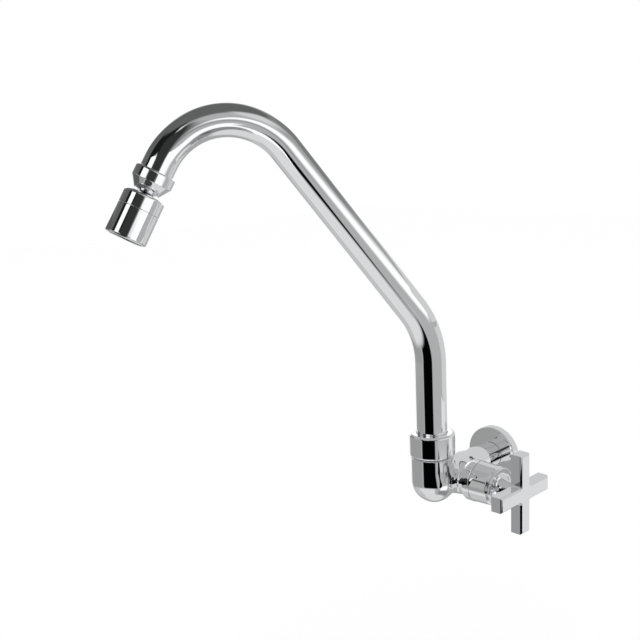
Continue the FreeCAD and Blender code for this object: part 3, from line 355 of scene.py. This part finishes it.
# Bright nickel and chrome on polished brass: a hard mirror. Wiping leaves the faintest haze in patches of
# about 6 mm, which the eye reads as a real plated surface.
HAZE_SIZE = 0.006
chrome, tree, shader = new_material("bright chrome plate")
coords = add_node(tree, "ShaderNodeTexCoord")
haze = add_node(tree, "ShaderNodeTexNoise", values={"Scale": 1 / HAZE_SIZE, "Detail": 2.0}, links={
    "Vector": coords.outputs["Object"]})
gloss = add_node(tree, "ShaderNodeMapRange", values={"To Min": 0.018, "To Max": 0.042}, links={
    "Value": haze.outputs[0]})
tree.links.new(gloss.outputs[0], shader.inputs["Roughness"])
shader.inputs["Base Color"].default_value = linear("#F2F3F4")
shader.inputs["Metallic"].default_value = 1.0

# Free-cutting brass as it leaves the lathe: satin, with a grain of 0.4 mm left by the tool.
brass = grained("machined brass", "#C9A35B", 0.28, 0.0004, 0.000004, 1.0)

neck = turned("inlet_neck_plated", [
    (NIPPLE_BORE, 0.0), (NECK_RADIUS, 0.0), (NECK_RADIUS, NECK_END), (NIPPLE_BORE, NECK_END),
], INLET)
neck.data.materials.append(chrome)
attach(neck, "tap_body")
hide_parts("inlet_nipple")

# The thread is a ridge of V section, right-handed, with flat crests and roots, that runs out at both ends.
tail = bmesh.new()
turns = [math.tau * side / THREAD_SIDES for side in range(THREAD_SIDES)]
levels = round(TAIL_LENGTH / THREAD_PITCH * THREAD_STEPS)
profile = [[NIPPLE_BORE] * THREAD_SIDES]
heights = [-TAIL_LENGTH]
for level in range(levels + 1):
    height = TAIL_LENGTH * (level / levels - 1)
    run_out = min(1.0, (height + TAIL_LENGTH) / THREAD_PITCH, -height / THREAD_PITCH)
    ring = []
    for turn in turns:
        wave = abs(2 * ((height / THREAD_PITCH - turn / math.tau) % 1.0) - 1)
        flank = min(1.0, max(0.0, (wave - THREAD_FLAT) / (1 - 2 * THREAD_FLAT)))
        ring.append(THREAD_RADIUS - THREAD_DEPTH * (1 - flank * run_out))
    profile.append(ring)
    heights.append(height)
profile.append([NIPPLE_BORE] * THREAD_SIDES)
heights.append(0.0)
joined(tail, [
    [
        tail.verts.new((radius * math.cos(turn), radius * math.sin(turn), height))
        for radius, turn in zip(ring, turns)
    ]
    for ring, height in zip(profile, heights)
])
thread = new_piece("inlet_tail_thread", tail, INLET)
thread.data.materials.append(brass)
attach(thread, "tap_body")


# ---- Wall flange ---------------------------------------------------------------------------------
# A round brass cover, turned from bar and plated, which screws on the nipple up to the wall and hides its
# hole. A ring of dark foam rubber lies in its back and keeps water out of the wall.

FLANGE_RADIUS = 0.02125
FLANGE_HEIGHT = 0.0062
FLANGE_RIM = 0.0016
FLANGE_FRONT = 0.002
FLANGE_BOSS = 0.0024
FLANGE_EDGE = 0.0005
BOSS_START = 0.0003
NECK_GAP = 0.00018


def finish(names, material):
    """Give construction pieces that stay as they are their real material."""
    for name in names:
        for slot in frame["nodes"][name].material_slots:
            slot.material = material


flange = turned("wall_flange_turned", [
    (THREAD_RADIUS, BOSS_START), (THREAD_RADIUS + FLANGE_BOSS, BOSS_START),
    (THREAD_RADIUS + FLANGE_BOSS, FLANGE_HEIGHT - FLANGE_FRONT),
    (FLANGE_RADIUS - FLANGE_RIM, FLANGE_HEIGHT - FLANGE_FRONT), (FLANGE_RADIUS - FLANGE_RIM, 0.0),
    (FLANGE_RADIUS, 0.0), (FLANGE_RADIUS, FLANGE_HEIGHT, FLANGE_EDGE),
    (NECK_RADIUS + NECK_GAP, FLANGE_HEIGHT),
    (NECK_RADIUS + NECK_GAP, FLANGE_HEIGHT - FLANGE_FRONT), (THREAD_RADIUS, FLANGE_HEIGHT - FLANGE_FRONT),
], INLET)
flange.data.materials.append(chrome)
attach(flange, "tap_body")
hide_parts("wall_flange")

# Closed-cell foam: matt, nearly black, with cells of about 0.6 mm.
finish(["wall_gasket"], grained("black foam rubber", "#262626", 0.9, 0.0006, 0.0003))


# ---- Cast body -----------------------------------------------------------------------------------
# The tap's body is one brass casting: a barrel from the wall, an elbow that turns up under the spout and a
# side branch for the headwork. It is ground and polished before plating, so the branches flow into each
# other.

riser = Vector(joints["spout_swing"]["pos_m"])
handle_axis = Vector(joints["handle_turn"]["pos_m"])
BARREL_END = 0.0168
BARREL_END_RADIUS = 0.0105
BARREL_ROOT_RADIUS = 0.0128
BARREL_ROUNDING = 0.0050
ELBOW_RADIUS = 0.0156
ELBOW_RISE = 0.0013
ELBOW_TOP = 0.0201
BRANCH_RADIUS = 0.0126
RIM_RADIUS = 0.0151
RIM_START = 0.0164
RIM_ROUNDING = 0.0018
BRANCH_FACE = 0.0229
FACE_BEVEL = 0.0006
BLEND = 0.008
RIM_BLEND = 0.0035
CAST_GRID = 0.0005
OVERRUN = 0.004
SUNK = 0.8


def profile_distance(radius, height, corners, rounding):
    """Signed distance to a turned form, from its convex profile of (radius, height) corners."""
    corners = [(-r, h) for r, h in reversed(corners)] + list(corners)
    nearest = np.full(radius.shape, np.inf)
    inside = np.ones(radius.shape, bool)
    centre = np.mean(corners, axis=0)
    for first, second in zip(corners, corners[1:] + corners[:1]):
        run = (second[0] - first[0], second[1] - first[1])
        away = (radius - first[0], height - first[1])
        share = np.clip((away[0] * run[0] + away[1] * run[1]) / (run[0] ** 2 + run[1] ** 2), 0, 1)
        nearest = np.minimum(nearest, np.hypot(away[0] - run[0] * share, away[1] - run[1] * share))
        side = run[0] * away[1] - run[1] * away[0]
        centre_side = run[0] * (centre[1] - first[1]) - run[1] * (centre[0] - first[0])
        inside &= side * centre_side >= 0
    return np.where(inside, -nearest, nearest) - rounding


def soft_union(first, second, blend):
    """The nearer of two distances, rounded where they are alike."""
    mix = np.maximum(blend - np.abs(first - second), 0) / blend
    return np.minimum(first, second) - mix * mix * blend / 4


def body_distance(points):
    """Signed distance of points to the skin of the casting."""
    x, y, z = points.T
    shrink = BARREL_ROUNDING
    barrel = profile_distance(
        np.hypot(x, z), -y,
        [(BARREL_END_RADIUS - shrink, BARREL_END + shrink), (BARREL_ROOT_RADIUS - shrink, -riser.y)], shrink)
    below = np.minimum(z - ELBOW_RISE, 0)
    elbow = np.sqrt(x ** 2 + (y - riser.y) ** 2 + below ** 2) - ELBOW_RADIUS
    aside = np.hypot(y - handle_axis.y, z - handle_axis.z)
    branch = np.hypot(np.minimum(x, 0), aside) - BRANCH_RADIUS
    rim = profile_distance(
        aside, x,
        [(RIM_RADIUS - RIM_ROUNDING, RIM_START + RIM_ROUNDING), (RIM_RADIUS - RIM_ROUNDING, 2 * BRANCH_FACE)],
        RIM_ROUNDING)
    return soft_union(soft_union(soft_union(barrel, elbow, BLEND), branch, BLEND), rim, RIM_BLEND)


def onto_skin(points, distance, steps=4, reach=1e-5):
    """Move points down the slope of a distance until they lie on its skin."""
    for _ in range(steps):
        slope = np.stack([
            (distance(points + reach * axis) - distance(points - reach * axis)) / (2 * reach)
            for axis in np.eye(3)
        ], axis=1)
        size = np.maximum((slope ** 2).sum(axis=1), 0.2)
        points = points - slope * (distance(points) / size)[:, None]
    return points


casting = bmesh.new()
for start, end, radius in (
    ((0, -BARREL_END, 0), (0, riser.y, 0), BARREL_END_RADIUS),
    ((0, riser.y, ELBOW_RISE - ELBOW_RADIUS * SUNK), (0, riser.y, ELBOW_TOP + OVERRUN), ELBOW_RADIUS),
    ((-BRANCH_RADIUS * SUNK, handle_axis.y, handle_axis.z),
     (RIM_START + OVERRUN, handle_axis.y, handle_axis.z), BRANCH_RADIUS),
    ((RIM_START, handle_axis.y, handle_axis.z),
     (BRANCH_FACE + OVERRUN, handle_axis.y, handle_axis.z), RIM_RADIUS),
):
    run = Vector(end) - Vector(start)
    bmesh.ops.create_cone(
        casting, cap_ends=True, segments=48, radius1=radius, radius2=radius, depth=run.length,
        matrix=along((Vector(start) + Vector(end)) / 2, run))
body = new_piece("cast_body", casting)
remesh = body.modifiers.new("skin", "REMESH")
remesh.mode = "VOXEL"
remesh.voxel_size = CAST_GRID
skin = bpy.data.meshes.new_from_object(body.evaluated_get(bpy.context.evaluated_depsgraph_get()))
body.modifiers.clear()
places = np.empty(len(skin.vertices) * 3)
skin.vertices.foreach_get("co", places)
places = places.reshape(-1, 3)
level = (places[:, 2] < ELBOW_TOP + OVERRUN / 2) & (places[:, 0] < BRANCH_FACE + OVERRUN / 2)
places[level] = onto_skin(places[level], body_distance)
skin.vertices.foreach_set("co", places.ravel())
casting = bmesh.new()
casting.from_mesh(skin)
for place, normal in (((0, 0, ELBOW_TOP), (0, 0, 1)), ((BRANCH_FACE, 0, 0), (1, 0, 0))):
    everything = casting.verts[:] + casting.edges[:] + casting.faces[:]
    cut = bmesh.ops.bisect_plane(casting, geom=everything, plane_co=place, plane_no=normal, clear_outer=True)
    rim = [item for item in cut["geom_cut"] if isinstance(item, bmesh.types.BMEdge)]
    bmesh.ops.contextual_create(casting, geom=rim)
    bmesh.ops.bevel(casting, geom=rim, offset=FACE_BEVEL, segments=4, profile=0.5, affect="EDGES")
casting.to_mesh(body.data)
casting.free()
body.data.shade_smooth()
body.data.materials.append(chrome)
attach(body, "tap_body")
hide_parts("valve_body")


# ---- Bonnet --------------------------------------------------------------------------------------
# A turned and plated brass cap that screws over the headwork, down to the side branch, with a hairline seam
# between. It narrows a little towards the handle and ends in a wide bevel.

BONNET_START = 0.0232
BONNET_END = 0.0396
BONNET_RADIUS = 0.0149
BONNET_FRONT_RADIUS = 0.0144
BONNET_BEVEL = 0.0022
BONNET_WALL = 0.0016
BONNET_FRONT = 0.003
BONNET_EDGE = 0.0006
STEM_HOLE = 0.0053
HANDLE = along((0, handle_axis.y, handle_axis.z), (1, 0, 0))
bonnet = turned("bonnet_turned", [
    (BONNET_RADIUS - BONNET_WALL, BONNET_START), (BONNET_RADIUS, BONNET_START),
    (BONNET_FRONT_RADIUS, BONNET_END - BONNET_BEVEL, BONNET_EDGE),
    (BONNET_FRONT_RADIUS - BONNET_BEVEL, BONNET_END),
    (STEM_HOLE, BONNET_END), (STEM_HOLE, BONNET_END - BONNET_FRONT),
    (BONNET_RADIUS - BONNET_WALL, BONNET_END - BONNET_FRONT),
], HANDLE)
bonnet.data.materials.append(chrome)
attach(bonnet, "tap_body")
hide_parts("bonnet")


# ---- Headwork ------------------------------------------------------------------------------------
# The quarter-turn cartridge under the bonnet: a screwed brass body on a fibre washer, two lapped ceramic
# discs on a rubber seal, and a spindle with its rubber rings and a steel clip. It shows only when the tap
# is opened up.

# Lapped alumina: off-white and almost glossy, too hard to show any grain but the finest.
ceramic = grained("lapped alumina", "#E6E3DA", 0.16, 0.0002, 0.0000005)
# Moulded nitrile rubber: black, with the dull bloom of the mould.
rubber = grained("black sealing rubber", "#17181A", 0.55, 0.0003, 0.000006)
# Acetal and fibre, off-white and slightly waxy.
acetal = grained("off-white acetal", "#DAD7CB", 0.38, 0.0008, 0.000004)
# Plain stainless steel, drawn and stamped, with a fine grain of 0.2 mm from its rolling.
stainless = grained("stainless steel", "#B9BAB8", 0.3, 0.0002, 0.000002, 1.0)
finish(["headwork_body", "spindle"], brass)
finish(["fixed_disc", "moving_disc"], ceramic)
finish(["seat_seal", "spindle_rings"], rubber)
finish(["headwork_washer"], acetal)
finish(["spindle_clip"], stainless)


# ---- Cross handle --------------------------------------------------------------------------------
# One zinc die casting, ground flat on its faces and chromed: four square arms with bevelled front edges on
# a hub that flares out over the bonnet. A grub screw from below holds it on the spindle.

HUB_START = 0.0399
HUB_HEIGHT = 0.0135
HUB_BASE_RADIUS = 0.0075
HUB_NECK_RADIUS = 0.005
HUB_FLANGE_RADIUS = 0.0141
HUB_FLANGE_HEIGHT = 0.0018
HUB_FLANGE_EDGE = 0.0006
HUB_FLARE = 0.005
GRUB_OFFSET = 0.009
GRUB_RADIUS = 0.0015
GRUB_DEPTH = (0.003, 0.012)
HUB_SINK = 0.0005
WAVE_SIZE = 0.004
ARM_DEPTH = 0.0089
ARM_HALF = 0.0055
HALF_SPAN = 0.0291
INNER_RADIUS = 0.0016
ARM_CHAMFER = 0.0013
EDGE_BEVEL = 0.00022


def cross_outline(inset, height):
    """Points round the cross, drawn in by an inset, with round inner corners."""
    middle = ARM_HALF + INNER_RADIUS
    radius = INNER_RADIUS + inset
    quarter = [Vector((HALF_SPAN - inset, ARM_HALF - inset, height))]
    for step in range(9):
        turn = -math.pi / 2 * (1 + step / 8)
        quarter.append(Vector((middle + radius * math.cos(turn), middle + radius * math.sin(turn), height)))
    quarter.append(Vector((ARM_HALF - inset, HALF_SPAN - inset, height)))
    return [Matrix.Rotation(math.pi / 2 * side, 3, "Z") @ point for side in range(4) for point in quarter]


cross = bmesh.new()
front = HUB_HEIGHT + ARM_DEPTH
rings = [
    [cross.verts.new(point) for point in cross_outline(inset, height)]
    for inset, height in ((0, HUB_HEIGHT), (0, front - ARM_CHAMFER), (ARM_CHAMFER, front))
]
count = len(rings[0])
for low, high in zip(rings, rings[1:]):
    for index in range(count):
        after = (index + 1) % count
        cross.faces.new((low[index], low[after], high[after], high[index]))
cross.faces.new(rings[0])
cross.faces.new(rings[-1])
handle = new_piece("cross_handle_cast", cross, HANDLE @ Matrix.Translation((0, 0, HUB_START)))
bevel = handle.modifiers.new("worn edges", "BEVEL")
bevel.width = EDGE_BEVEL
bevel.segments = 3
bevel.limit_method = "ANGLE"
bevel.angle_limit = math.radians(25)
flatten = handle.modifiers.new("flat faces", "WEIGHTED_NORMAL")
flatten.mode = "FACE_AREA"
flatten.weight = 100
# Zinc castings are polished less far than brass, so their chrome keeps a breath of waviness, about 4 mm long.
zinc_chrome, tree, shader = new_material("chrome plate on zinc")
coords = add_node(tree, "ShaderNodeTexCoord")
waves = add_node(tree, "ShaderNodeTexNoise", values={"Scale": 1 / WAVE_SIZE, "Detail": 1.0}, links={
    "Vector": coords.outputs["Object"]})
gloss = add_node(tree, "ShaderNodeMapRange", values={"To Min": 0.03, "To Max": 0.06}, links={
    "Value": waves.outputs[0]})
bump = add_node(tree, "ShaderNodeBump", values={"Distance": 0.000004}, links={"Height": waves.outputs[0]})
tree.links.new(gloss.outputs[0], shader.inputs["Roughness"])
tree.links.new(bump.outputs[0], shader.inputs["Normal"])
shader.inputs["Base Color"].default_value = linear("#EDEEF0")
shader.inputs["Metallic"].default_value = 1.0
handle.data.materials.append(zinc_chrome)
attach(handle, "handle")
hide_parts("cross_handle")

hub_end = HUB_START + HUB_HEIGHT + HUB_SINK
cone_root = HUB_BASE_RADIUS - (HUB_BASE_RADIUS - HUB_NECK_RADIUS) * HUB_FLANGE_HEIGHT / HUB_HEIGHT
hub = turned("handle_hub", [
    (0, HUB_START), (HUB_FLANGE_RADIUS, HUB_START),
    (HUB_FLANGE_RADIUS, HUB_START + HUB_FLANGE_HEIGHT, HUB_FLANGE_EDGE),
    (cone_root, HUB_START + HUB_FLANGE_HEIGHT, HUB_FLARE), (HUB_NECK_RADIUS, hub_end),
    (0, hub_end),
], HANDLE)
hole = spun([
    (0, GRUB_DEPTH[0]), (GRUB_RADIUS, GRUB_DEPTH[0]), (GRUB_RADIUS, GRUB_DEPTH[1]), (0, GRUB_DEPTH[1]),
], 32)
hole_place = along((HUB_START + GRUB_OFFSET, handle_axis.y, handle_axis.z), (0, 0, -1))
drill = new_piece("grub_hole", hole, hole_place)
cut = hub.modifiers.new("grub hole", "BOOLEAN")
cut.operation = "DIFFERENCE"
cut.solver = "EXACT"
cut.object = drill
hub_mesh = bpy.data.meshes.new_from_object(hub.evaluated_get(bpy.context.evaluated_depsgraph_get()))
hub.modifiers.clear()
hub.data = hub_mesh
bpy.data.objects.remove(drill)
hub.data.materials.clear()
hub.data.materials.append(zinc_chrome)
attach(hub, "handle")
finish(["handle_grub_screw"], stainless)


# ---- Swinging joint ------------------------------------------------------------------------------
# A brass spigot, brazed into the foot of the tube, turns in the body on two rubber rings, between two
# acetal slip rings. The collar nut, turned, plated and bare of any mark, screws on the body and holds its
# flange down.

finish(["spout_spigot"], brass)
finish(["spigot_rings"], rubber)
finish(["lower_slip_ring", "upper_slip_ring"], acetal)

COLLAR_RADIUS = 0.01655
COLLAR_START = 0.0204
COLLAR_END = 0.0374
COLLAR_EDGE = 0.0017
COLLAR_BORE_RADIUS = 0.0133
COLLAR_TOP = 0.001
TUBE_PLAY = 0.0003
TUBE_RADIUS = 0.0111
RISER = along((riser.x, riser.y, 0), (0, 0, 1))
collar = turned("collar_nut_turned", [
    (COLLAR_BORE_RADIUS, COLLAR_START),
    (COLLAR_RADIUS, COLLAR_START, COLLAR_EDGE), (COLLAR_RADIUS, COLLAR_END, COLLAR_EDGE),
    (TUBE_RADIUS + TUBE_PLAY, COLLAR_END), (TUBE_RADIUS + TUBE_PLAY, COLLAR_END - COLLAR_TOP),
    (COLLAR_BORE_RADIUS, COLLAR_END - COLLAR_TOP),
], RISER)
collar.data.materials.append(chrome)
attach(collar, "tap_body")
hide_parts("collar_nut")


# ---- Swan-neck tube ------------------------------------------------------------------------------
# One length of drawn brass tube, 22.2 mm over its outside, with a shallow bend above the riser and a wide
# one at the top, made on a mandrel so that it stays round, then polished and plated.

outlet = Vector(joints["head_lean_direction"]["axis"]).normalized()
ball = Vector(joints["head_tip"]["pos_m"])
reach = Vector((outlet.x, outlet.y, 0)).normalized()
TUBE_FOOT = 0.035
TUBE_WALL = 0.001
RISER_TOP = 0.0886
LEAN = math.radians(36.45)
LEAN_RADIUS = 0.0674
LEAN_RUN = 0.1424
HOOK = math.radians(113.2)
HOOK_RADIUS = 0.0483
OUTLET_RUN = 0.0067
TUBE_ENTRY = 0.0034
BEND_STEP = math.radians(1.6)
TUBE_SIDES = 96

stations = [(Vector((0, TUBE_FOOT)), 0.0), (Vector((0, RISER_TOP)), 0.0)]
for turn_by, radius, run in ((LEAN, LEAN_RADIUS, LEAN_RUN), (HOOK, HOOK_RADIUS, OUTLET_RUN + TUBE_ENTRY)):
    start, lean = stations[-1]
    middle = start + radius * Vector((math.cos(lean), -math.sin(lean)))
    steps = round(turn_by / BEND_STEP)
    for step in range(1, steps + 1):
        tilt = lean + turn_by * step / steps
        stations.append((middle - radius * Vector((math.cos(tilt), -math.sin(tilt))), tilt))
    end, tilt = stations[-1]
    stations.append((end + run * Vector((math.sin(tilt), math.cos(tilt))), tilt))

pipe = bmesh.new()
side = reach.cross(Vector((0, 0, 1)))
skins = []
for radius in (TUBE_RADIUS, TUBE_RADIUS - TUBE_WALL):
    rows = []
    for (along_reach, height), tilt in stations:
        centre = Vector((riser.x, riser.y, 0)) + reach * along_reach + Vector((0, 0, height))
        outer = reach * math.cos(tilt) - Vector((0, 0, math.sin(tilt)))
        rows.append([
            pipe.verts.new(centre + radius * (outer * math.cos(turn) + side * math.sin(turn)))
            for turn in (math.tau * index / TUBE_SIDES for index in range(TUBE_SIDES))
        ])
    skins.append(rows)
strips = [pair for rows in skins for pair in zip(rows, rows[1:])]
strips += [(skins[0][0], skins[1][0]), (skins[0][-1], skins[1][-1])]
for low, high in strips:
    for index in range(TUBE_SIDES):
        after = (index + 1) % TUBE_SIDES
        pipe.faces.new((low[index], low[after], high[after], high[index]))
for rows in skins:
    for row in (rows[0], rows[-1]):
        for index in range(TUBE_SIDES):
            pipe.edges.get((row[index], row[(index + 1) % TUBE_SIDES])).smooth = False
tube = new_piece("swan_neck_tube", pipe)
tube.data.materials.append(chrome)
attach(tube, "spout")
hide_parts("spout_tube")


# ---- Outlet nut ----------------------------------------------------------------------------------
# A turned and plated brass nut, a band with a cone under it, on a ferrule brazed to the tube's end. It
# presses a rubber seal and a hard ring on the swivel ball.

NUT_RADIUS = 0.01345
NUT_BAND = 0.0072
NUT_HEIGHT = 0.0145
NUT_MOUTH_RADIUS = 0.0085
NUT_TOP_EDGE = 0.0013
NUT_BAND_EDGE = 0.0008
NUT_MOUTH_EDGE = 0.0003
NUT_BORE_RADIUS = 0.01205
NUT_BORE_START = 0.003
NUT_BORE_END = 0.0082
NUT_MOUTH_BORE = 0.0062
NUT_SEAT_HEIGHT = 0.0105
NUT_PLAY = 0.0002
BALL_DEPTH = 0.0096
BALL_RADIUS = 0.0082
OUTLET = along(ball - outlet * BALL_DEPTH, outlet)
nut = turned("outlet_nut_turned", [
    (TUBE_RADIUS + NUT_PLAY, 0.0), (NUT_RADIUS, 0.0, NUT_TOP_EDGE), (NUT_RADIUS, NUT_BAND, NUT_BAND_EDGE),
    (NUT_MOUTH_RADIUS, NUT_HEIGHT, NUT_MOUTH_EDGE), (NUT_MOUTH_BORE, NUT_HEIGHT),
    (BALL_RADIUS, NUT_SEAT_HEIGHT), (NUT_BORE_RADIUS, NUT_BORE_END), (NUT_BORE_RADIUS, NUT_BORE_START),
], OUTLET)
nut.data.materials.append(chrome)
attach(nut, "spout")
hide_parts("outlet_nut")
finish(["outlet_ferrule"], brass)
finish(["ball_seal"], rubber)
finish(["ball_seat_ring"], acetal)


# ---- Swivel ball ---------------------------------------------------------------------------------
# A plated brass ball with a bored neck, on which the spray head screws. Between nut and head its neck
# shows, and as the head tips a little of the ball.

BALL_NECK_RADIUS = 0.0046
BALL_BORE = 0.003
BALL_NECK_END = 0.0137
BALL_STEPS = 24
HEAD = along(ball, joints["head_spin"]["axis"])
ball_corners = [(BALL_BORE, -math.sqrt(BALL_RADIUS ** 2 - BALL_BORE ** 2))]
neck_turn = math.asin(BALL_NECK_RADIUS / BALL_RADIUS)
first_turn = math.pi - math.asin(BALL_BORE / BALL_RADIUS)
for step in range(1, BALL_STEPS):
    turn = first_turn + (neck_turn - first_turn) * step / BALL_STEPS
    ball_corners.append((BALL_RADIUS * math.sin(turn), BALL_RADIUS * math.cos(turn), 0.0))
ball_corners += [
    (BALL_NECK_RADIUS, BALL_RADIUS * math.cos(neck_turn)),
    (BALL_NECK_RADIUS, BALL_NECK_END), (BALL_BORE, BALL_NECK_END),
]
swivel = turned("swivel_ball_turned", ball_corners, HEAD)
swivel.data.materials.append(chrome)
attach(swivel, "ball")
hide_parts("swivel_ball")


# ---- Spray head ----------------------------------------------------------------------------------
# Two drawn and turned brass shells, plated, which screw into each other with a fine open seam. The upper
# one has a round shoulder and a shallow hollow round the ball's neck; the lower one ends in a rounded lip.

HEAD_RADIUS = 0.01375
HEAD_START = 0.007
HEAD_LENGTH = 0.0302
CAP_HEIGHT = 0.010
CAP_WALL = 0.0008
CAP_DEPTH = 0.005
SEAM = 0.0003
SHOULDER = 0.0034
DISH_RADIUS = 0.010
DISH_DEPTH = 0.002
JOINT_LENGTH = 0.004
SHELL_WALL = 0.00175
LIP_WIDTH = 0.0023
LIP_HEIGHT = 0.0011
FOOT_ROUNDING = 0.0014
INNER_EDGE = 0.0004
HEAD_FIT = 0.0001
head_end = HEAD_START + HEAD_LENGTH
head_seam = HEAD_START + CAP_HEIGHT
cap = turned("head_cap_turned", [
    (BALL_NECK_RADIUS + HEAD_FIT, HEAD_START + DISH_DEPTH), (DISH_RADIUS, HEAD_START, INNER_EDGE),
    (HEAD_RADIUS, HEAD_START, SHOULDER), (HEAD_RADIUS, head_seam), (HEAD_RADIUS - CAP_WALL, head_seam),
    (HEAD_RADIUS - CAP_WALL, head_seam - CAP_DEPTH), (BALL_NECK_RADIUS + HEAD_FIT, head_seam - CAP_DEPTH),
], HEAD)
cap.data.materials.append(chrome)
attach(cap, "spray_head")
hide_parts("head_cap")

joint_radius = HEAD_RADIUS - CAP_WALL - HEAD_FIT
shell = turned("head_shell_turned", [
    (HEAD_RADIUS - SHELL_WALL, head_seam - JOINT_LENGTH), (joint_radius, head_seam - JOINT_LENGTH),
    (joint_radius, head_seam + SEAM), (HEAD_RADIUS, head_seam + SEAM),
    (HEAD_RADIUS, head_end, FOOT_ROUNDING), (HEAD_RADIUS - LIP_WIDTH, head_end, INNER_EDGE),
    (HEAD_RADIUS - LIP_WIDTH, head_end - LIP_HEIGHT), (HEAD_RADIUS - SHELL_WALL, head_end - LIP_HEIGHT),
], HEAD)
shell.data.materials.append(chrome)
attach(shell, "spray_head")
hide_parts("head_shell")


# ---- Spray insert --------------------------------------------------------------------------------
# What makes the jet, in the lower shell: a grey plastic cup with a perforated plate, wire screens and, at
# the mouth, a honeycomb grid of hexagonal cells. A flat rubber ring seals it against the upper shell.

CELL_PITCH = 0.0029
CELL_WALL = 0.00035
CELL_COUNT = 9
GRID_HEIGHT = 0.0034
GRID_RADIUS = 0.011
GRID_RIM = 0.0011

# Moulded acetal in mid grey, smooth from the tool.
plastic = grained("grey moulded plastic", "#6E7072", 0.42, 0.0005, 0.000003)
finish(["insert_cup", "perforated_plate"], plastic)
finish(["head_gasket"], rubber)
finish(["wire_screens"], stainless)

honeycomb = bpy.data.node_groups.new("honeycomb", "GeometryNodeTree")
honeycomb.interface.new_socket("Cell", in_out="INPUT", socket_type="NodeSocketGeometry")
sockets = {}
for name in ("Cell Pitch", "Field Radius"):
    sockets[name] = honeycomb.interface.new_socket(name, in_out="INPUT", socket_type="NodeSocketFloat")
honeycomb.interface.new_socket("Cells", in_out="OUTPUT", socket_type="NodeSocketGeometry")
given = add_node(honeycomb, "NodeGroupInput")
row_step = add_node(honeycomb, "ShaderNodeMath", {"operation": "MULTIPLY"}, {1: math.sqrt(3) / 2}, {
    0: given.outputs["Cell Pitch"]})
wide = add_node(honeycomb, "ShaderNodeMath", {"operation": "MULTIPLY"}, {1: CELL_COUNT - 1}, {
    0: given.outputs["Cell Pitch"]})
deep = add_node(honeycomb, "ShaderNodeMath", {"operation": "MULTIPLY"}, {1: CELL_COUNT - 1}, {
    0: row_step.outputs[0]})
counts = {"Vertices X": CELL_COUNT, "Vertices Y": CELL_COUNT}
field = add_node(honeycomb, "GeometryNodeMeshGrid", values=counts, links={
    "Size X": wide.outputs[0], "Size Y": deep.outputs[0]})
place = add_node(honeycomb, "GeometryNodeInputPosition")
split = add_node(honeycomb, "ShaderNodeSeparateXYZ", links={0: place.outputs[0]})
row = add_node(honeycomb, "ShaderNodeMath", {"operation": "DIVIDE"}, links={
    0: split.outputs["Y"], 1: row_step.outputs[0]})
row_number = add_node(honeycomb, "ShaderNodeMath", {"operation": "ROUND"}, links={0: row.outputs[0]})
odd = add_node(honeycomb, "ShaderNodeMath", {"operation": "FLOORED_MODULO"}, {1: 2.0}, {
    0: row_number.outputs[0]})
half = add_node(honeycomb, "ShaderNodeMath", {"operation": "MULTIPLY"}, {1: 0.5}, {
    0: given.outputs["Cell Pitch"]})
aside = add_node(honeycomb, "ShaderNodeMath", {"operation": "MULTIPLY"}, links={
    0: odd.outputs[0], 1: half.outputs[0]})
shift = add_node(honeycomb, "ShaderNodeCombineXYZ", links={"X": aside.outputs[0]})
staggered = add_node(honeycomb, "GeometryNodeSetPosition", links={
    "Geometry": field.outputs["Mesh"], "Offset": shift.outputs[0]})
distance = add_node(honeycomb, "ShaderNodeVectorMath", {"operation": "LENGTH"}, links={0: place.outputs[0]})
outside = add_node(honeycomb, "ShaderNodeMath", {"operation": "GREATER_THAN"}, links={
    0: distance.outputs["Value"], 1: given.outputs["Field Radius"]})
trimmed = add_node(honeycomb, "GeometryNodeDeleteGeometry", links={
    "Geometry": staggered.outputs[0], "Selection": outside.outputs[0]})
cells = add_node(honeycomb, "GeometryNodeInstanceOnPoints", links={
    "Points": trimmed.outputs[0], "Instance": given.outputs["Cell"]})
real = add_node(honeycomb, "GeometryNodeRealizeInstances", links={"Geometry": cells.outputs[0]})
painted = add_node(honeycomb, "GeometryNodeSetMaterial", values={"Material": plastic}, links={
    "Geometry": real.outputs[0]})
add_node(honeycomb, "NodeGroupOutput", links={0: painted.outputs[0]})

grid_end = head_end - LIP_HEIGHT
grid_start = grid_end - GRID_HEIGHT
apothem = CELL_PITCH / 2
corner = 1 / math.cos(math.pi / 6)
cell = spun([
    ((apothem - CELL_WALL / 2) * corner, 0.0), ((apothem + CELL_WALL / 2) * corner, 0.0),
    ((apothem + CELL_WALL / 2) * corner, GRID_HEIGHT), ((apothem - CELL_WALL / 2) * corner, GRID_HEIGHT),
], 6)
bmesh.ops.rotate(cell, verts=cell.verts, matrix=Matrix.Rotation(math.pi / 6, 3, "Z"))
grid = new_piece("outlet_honeycomb", cell)
repeat = grid.modifiers.new("honeycomb", "NODES")
repeat.node_group = honeycomb
repeat[sockets["Cell Pitch"].identifier] = CELL_PITCH
repeat[sockets["Field Radius"].identifier] = GRID_RADIUS - GRID_RIM
grid_mesh = bpy.data.meshes.new_from_object(grid.evaluated_get(bpy.context.evaluated_depsgraph_get()))
grid.modifiers.clear()
grid.data = grid_mesh
grid.data.transform(HEAD @ Matrix.Translation((0, 0, grid_start)))
grid.data.shade_flat()
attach(grid, "spray_head")
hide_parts("outlet_grid")

rim = turned("outlet_grid_rim", [
    (GRID_RADIUS - GRID_RIM, grid_start), (GRID_RADIUS, grid_start),
    (GRID_RADIUS, grid_end), (GRID_RADIUS - GRID_RIM, grid_end),
], HEAD, 96)
rim.data.materials.append(plastic)
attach(rim, "spray_head")
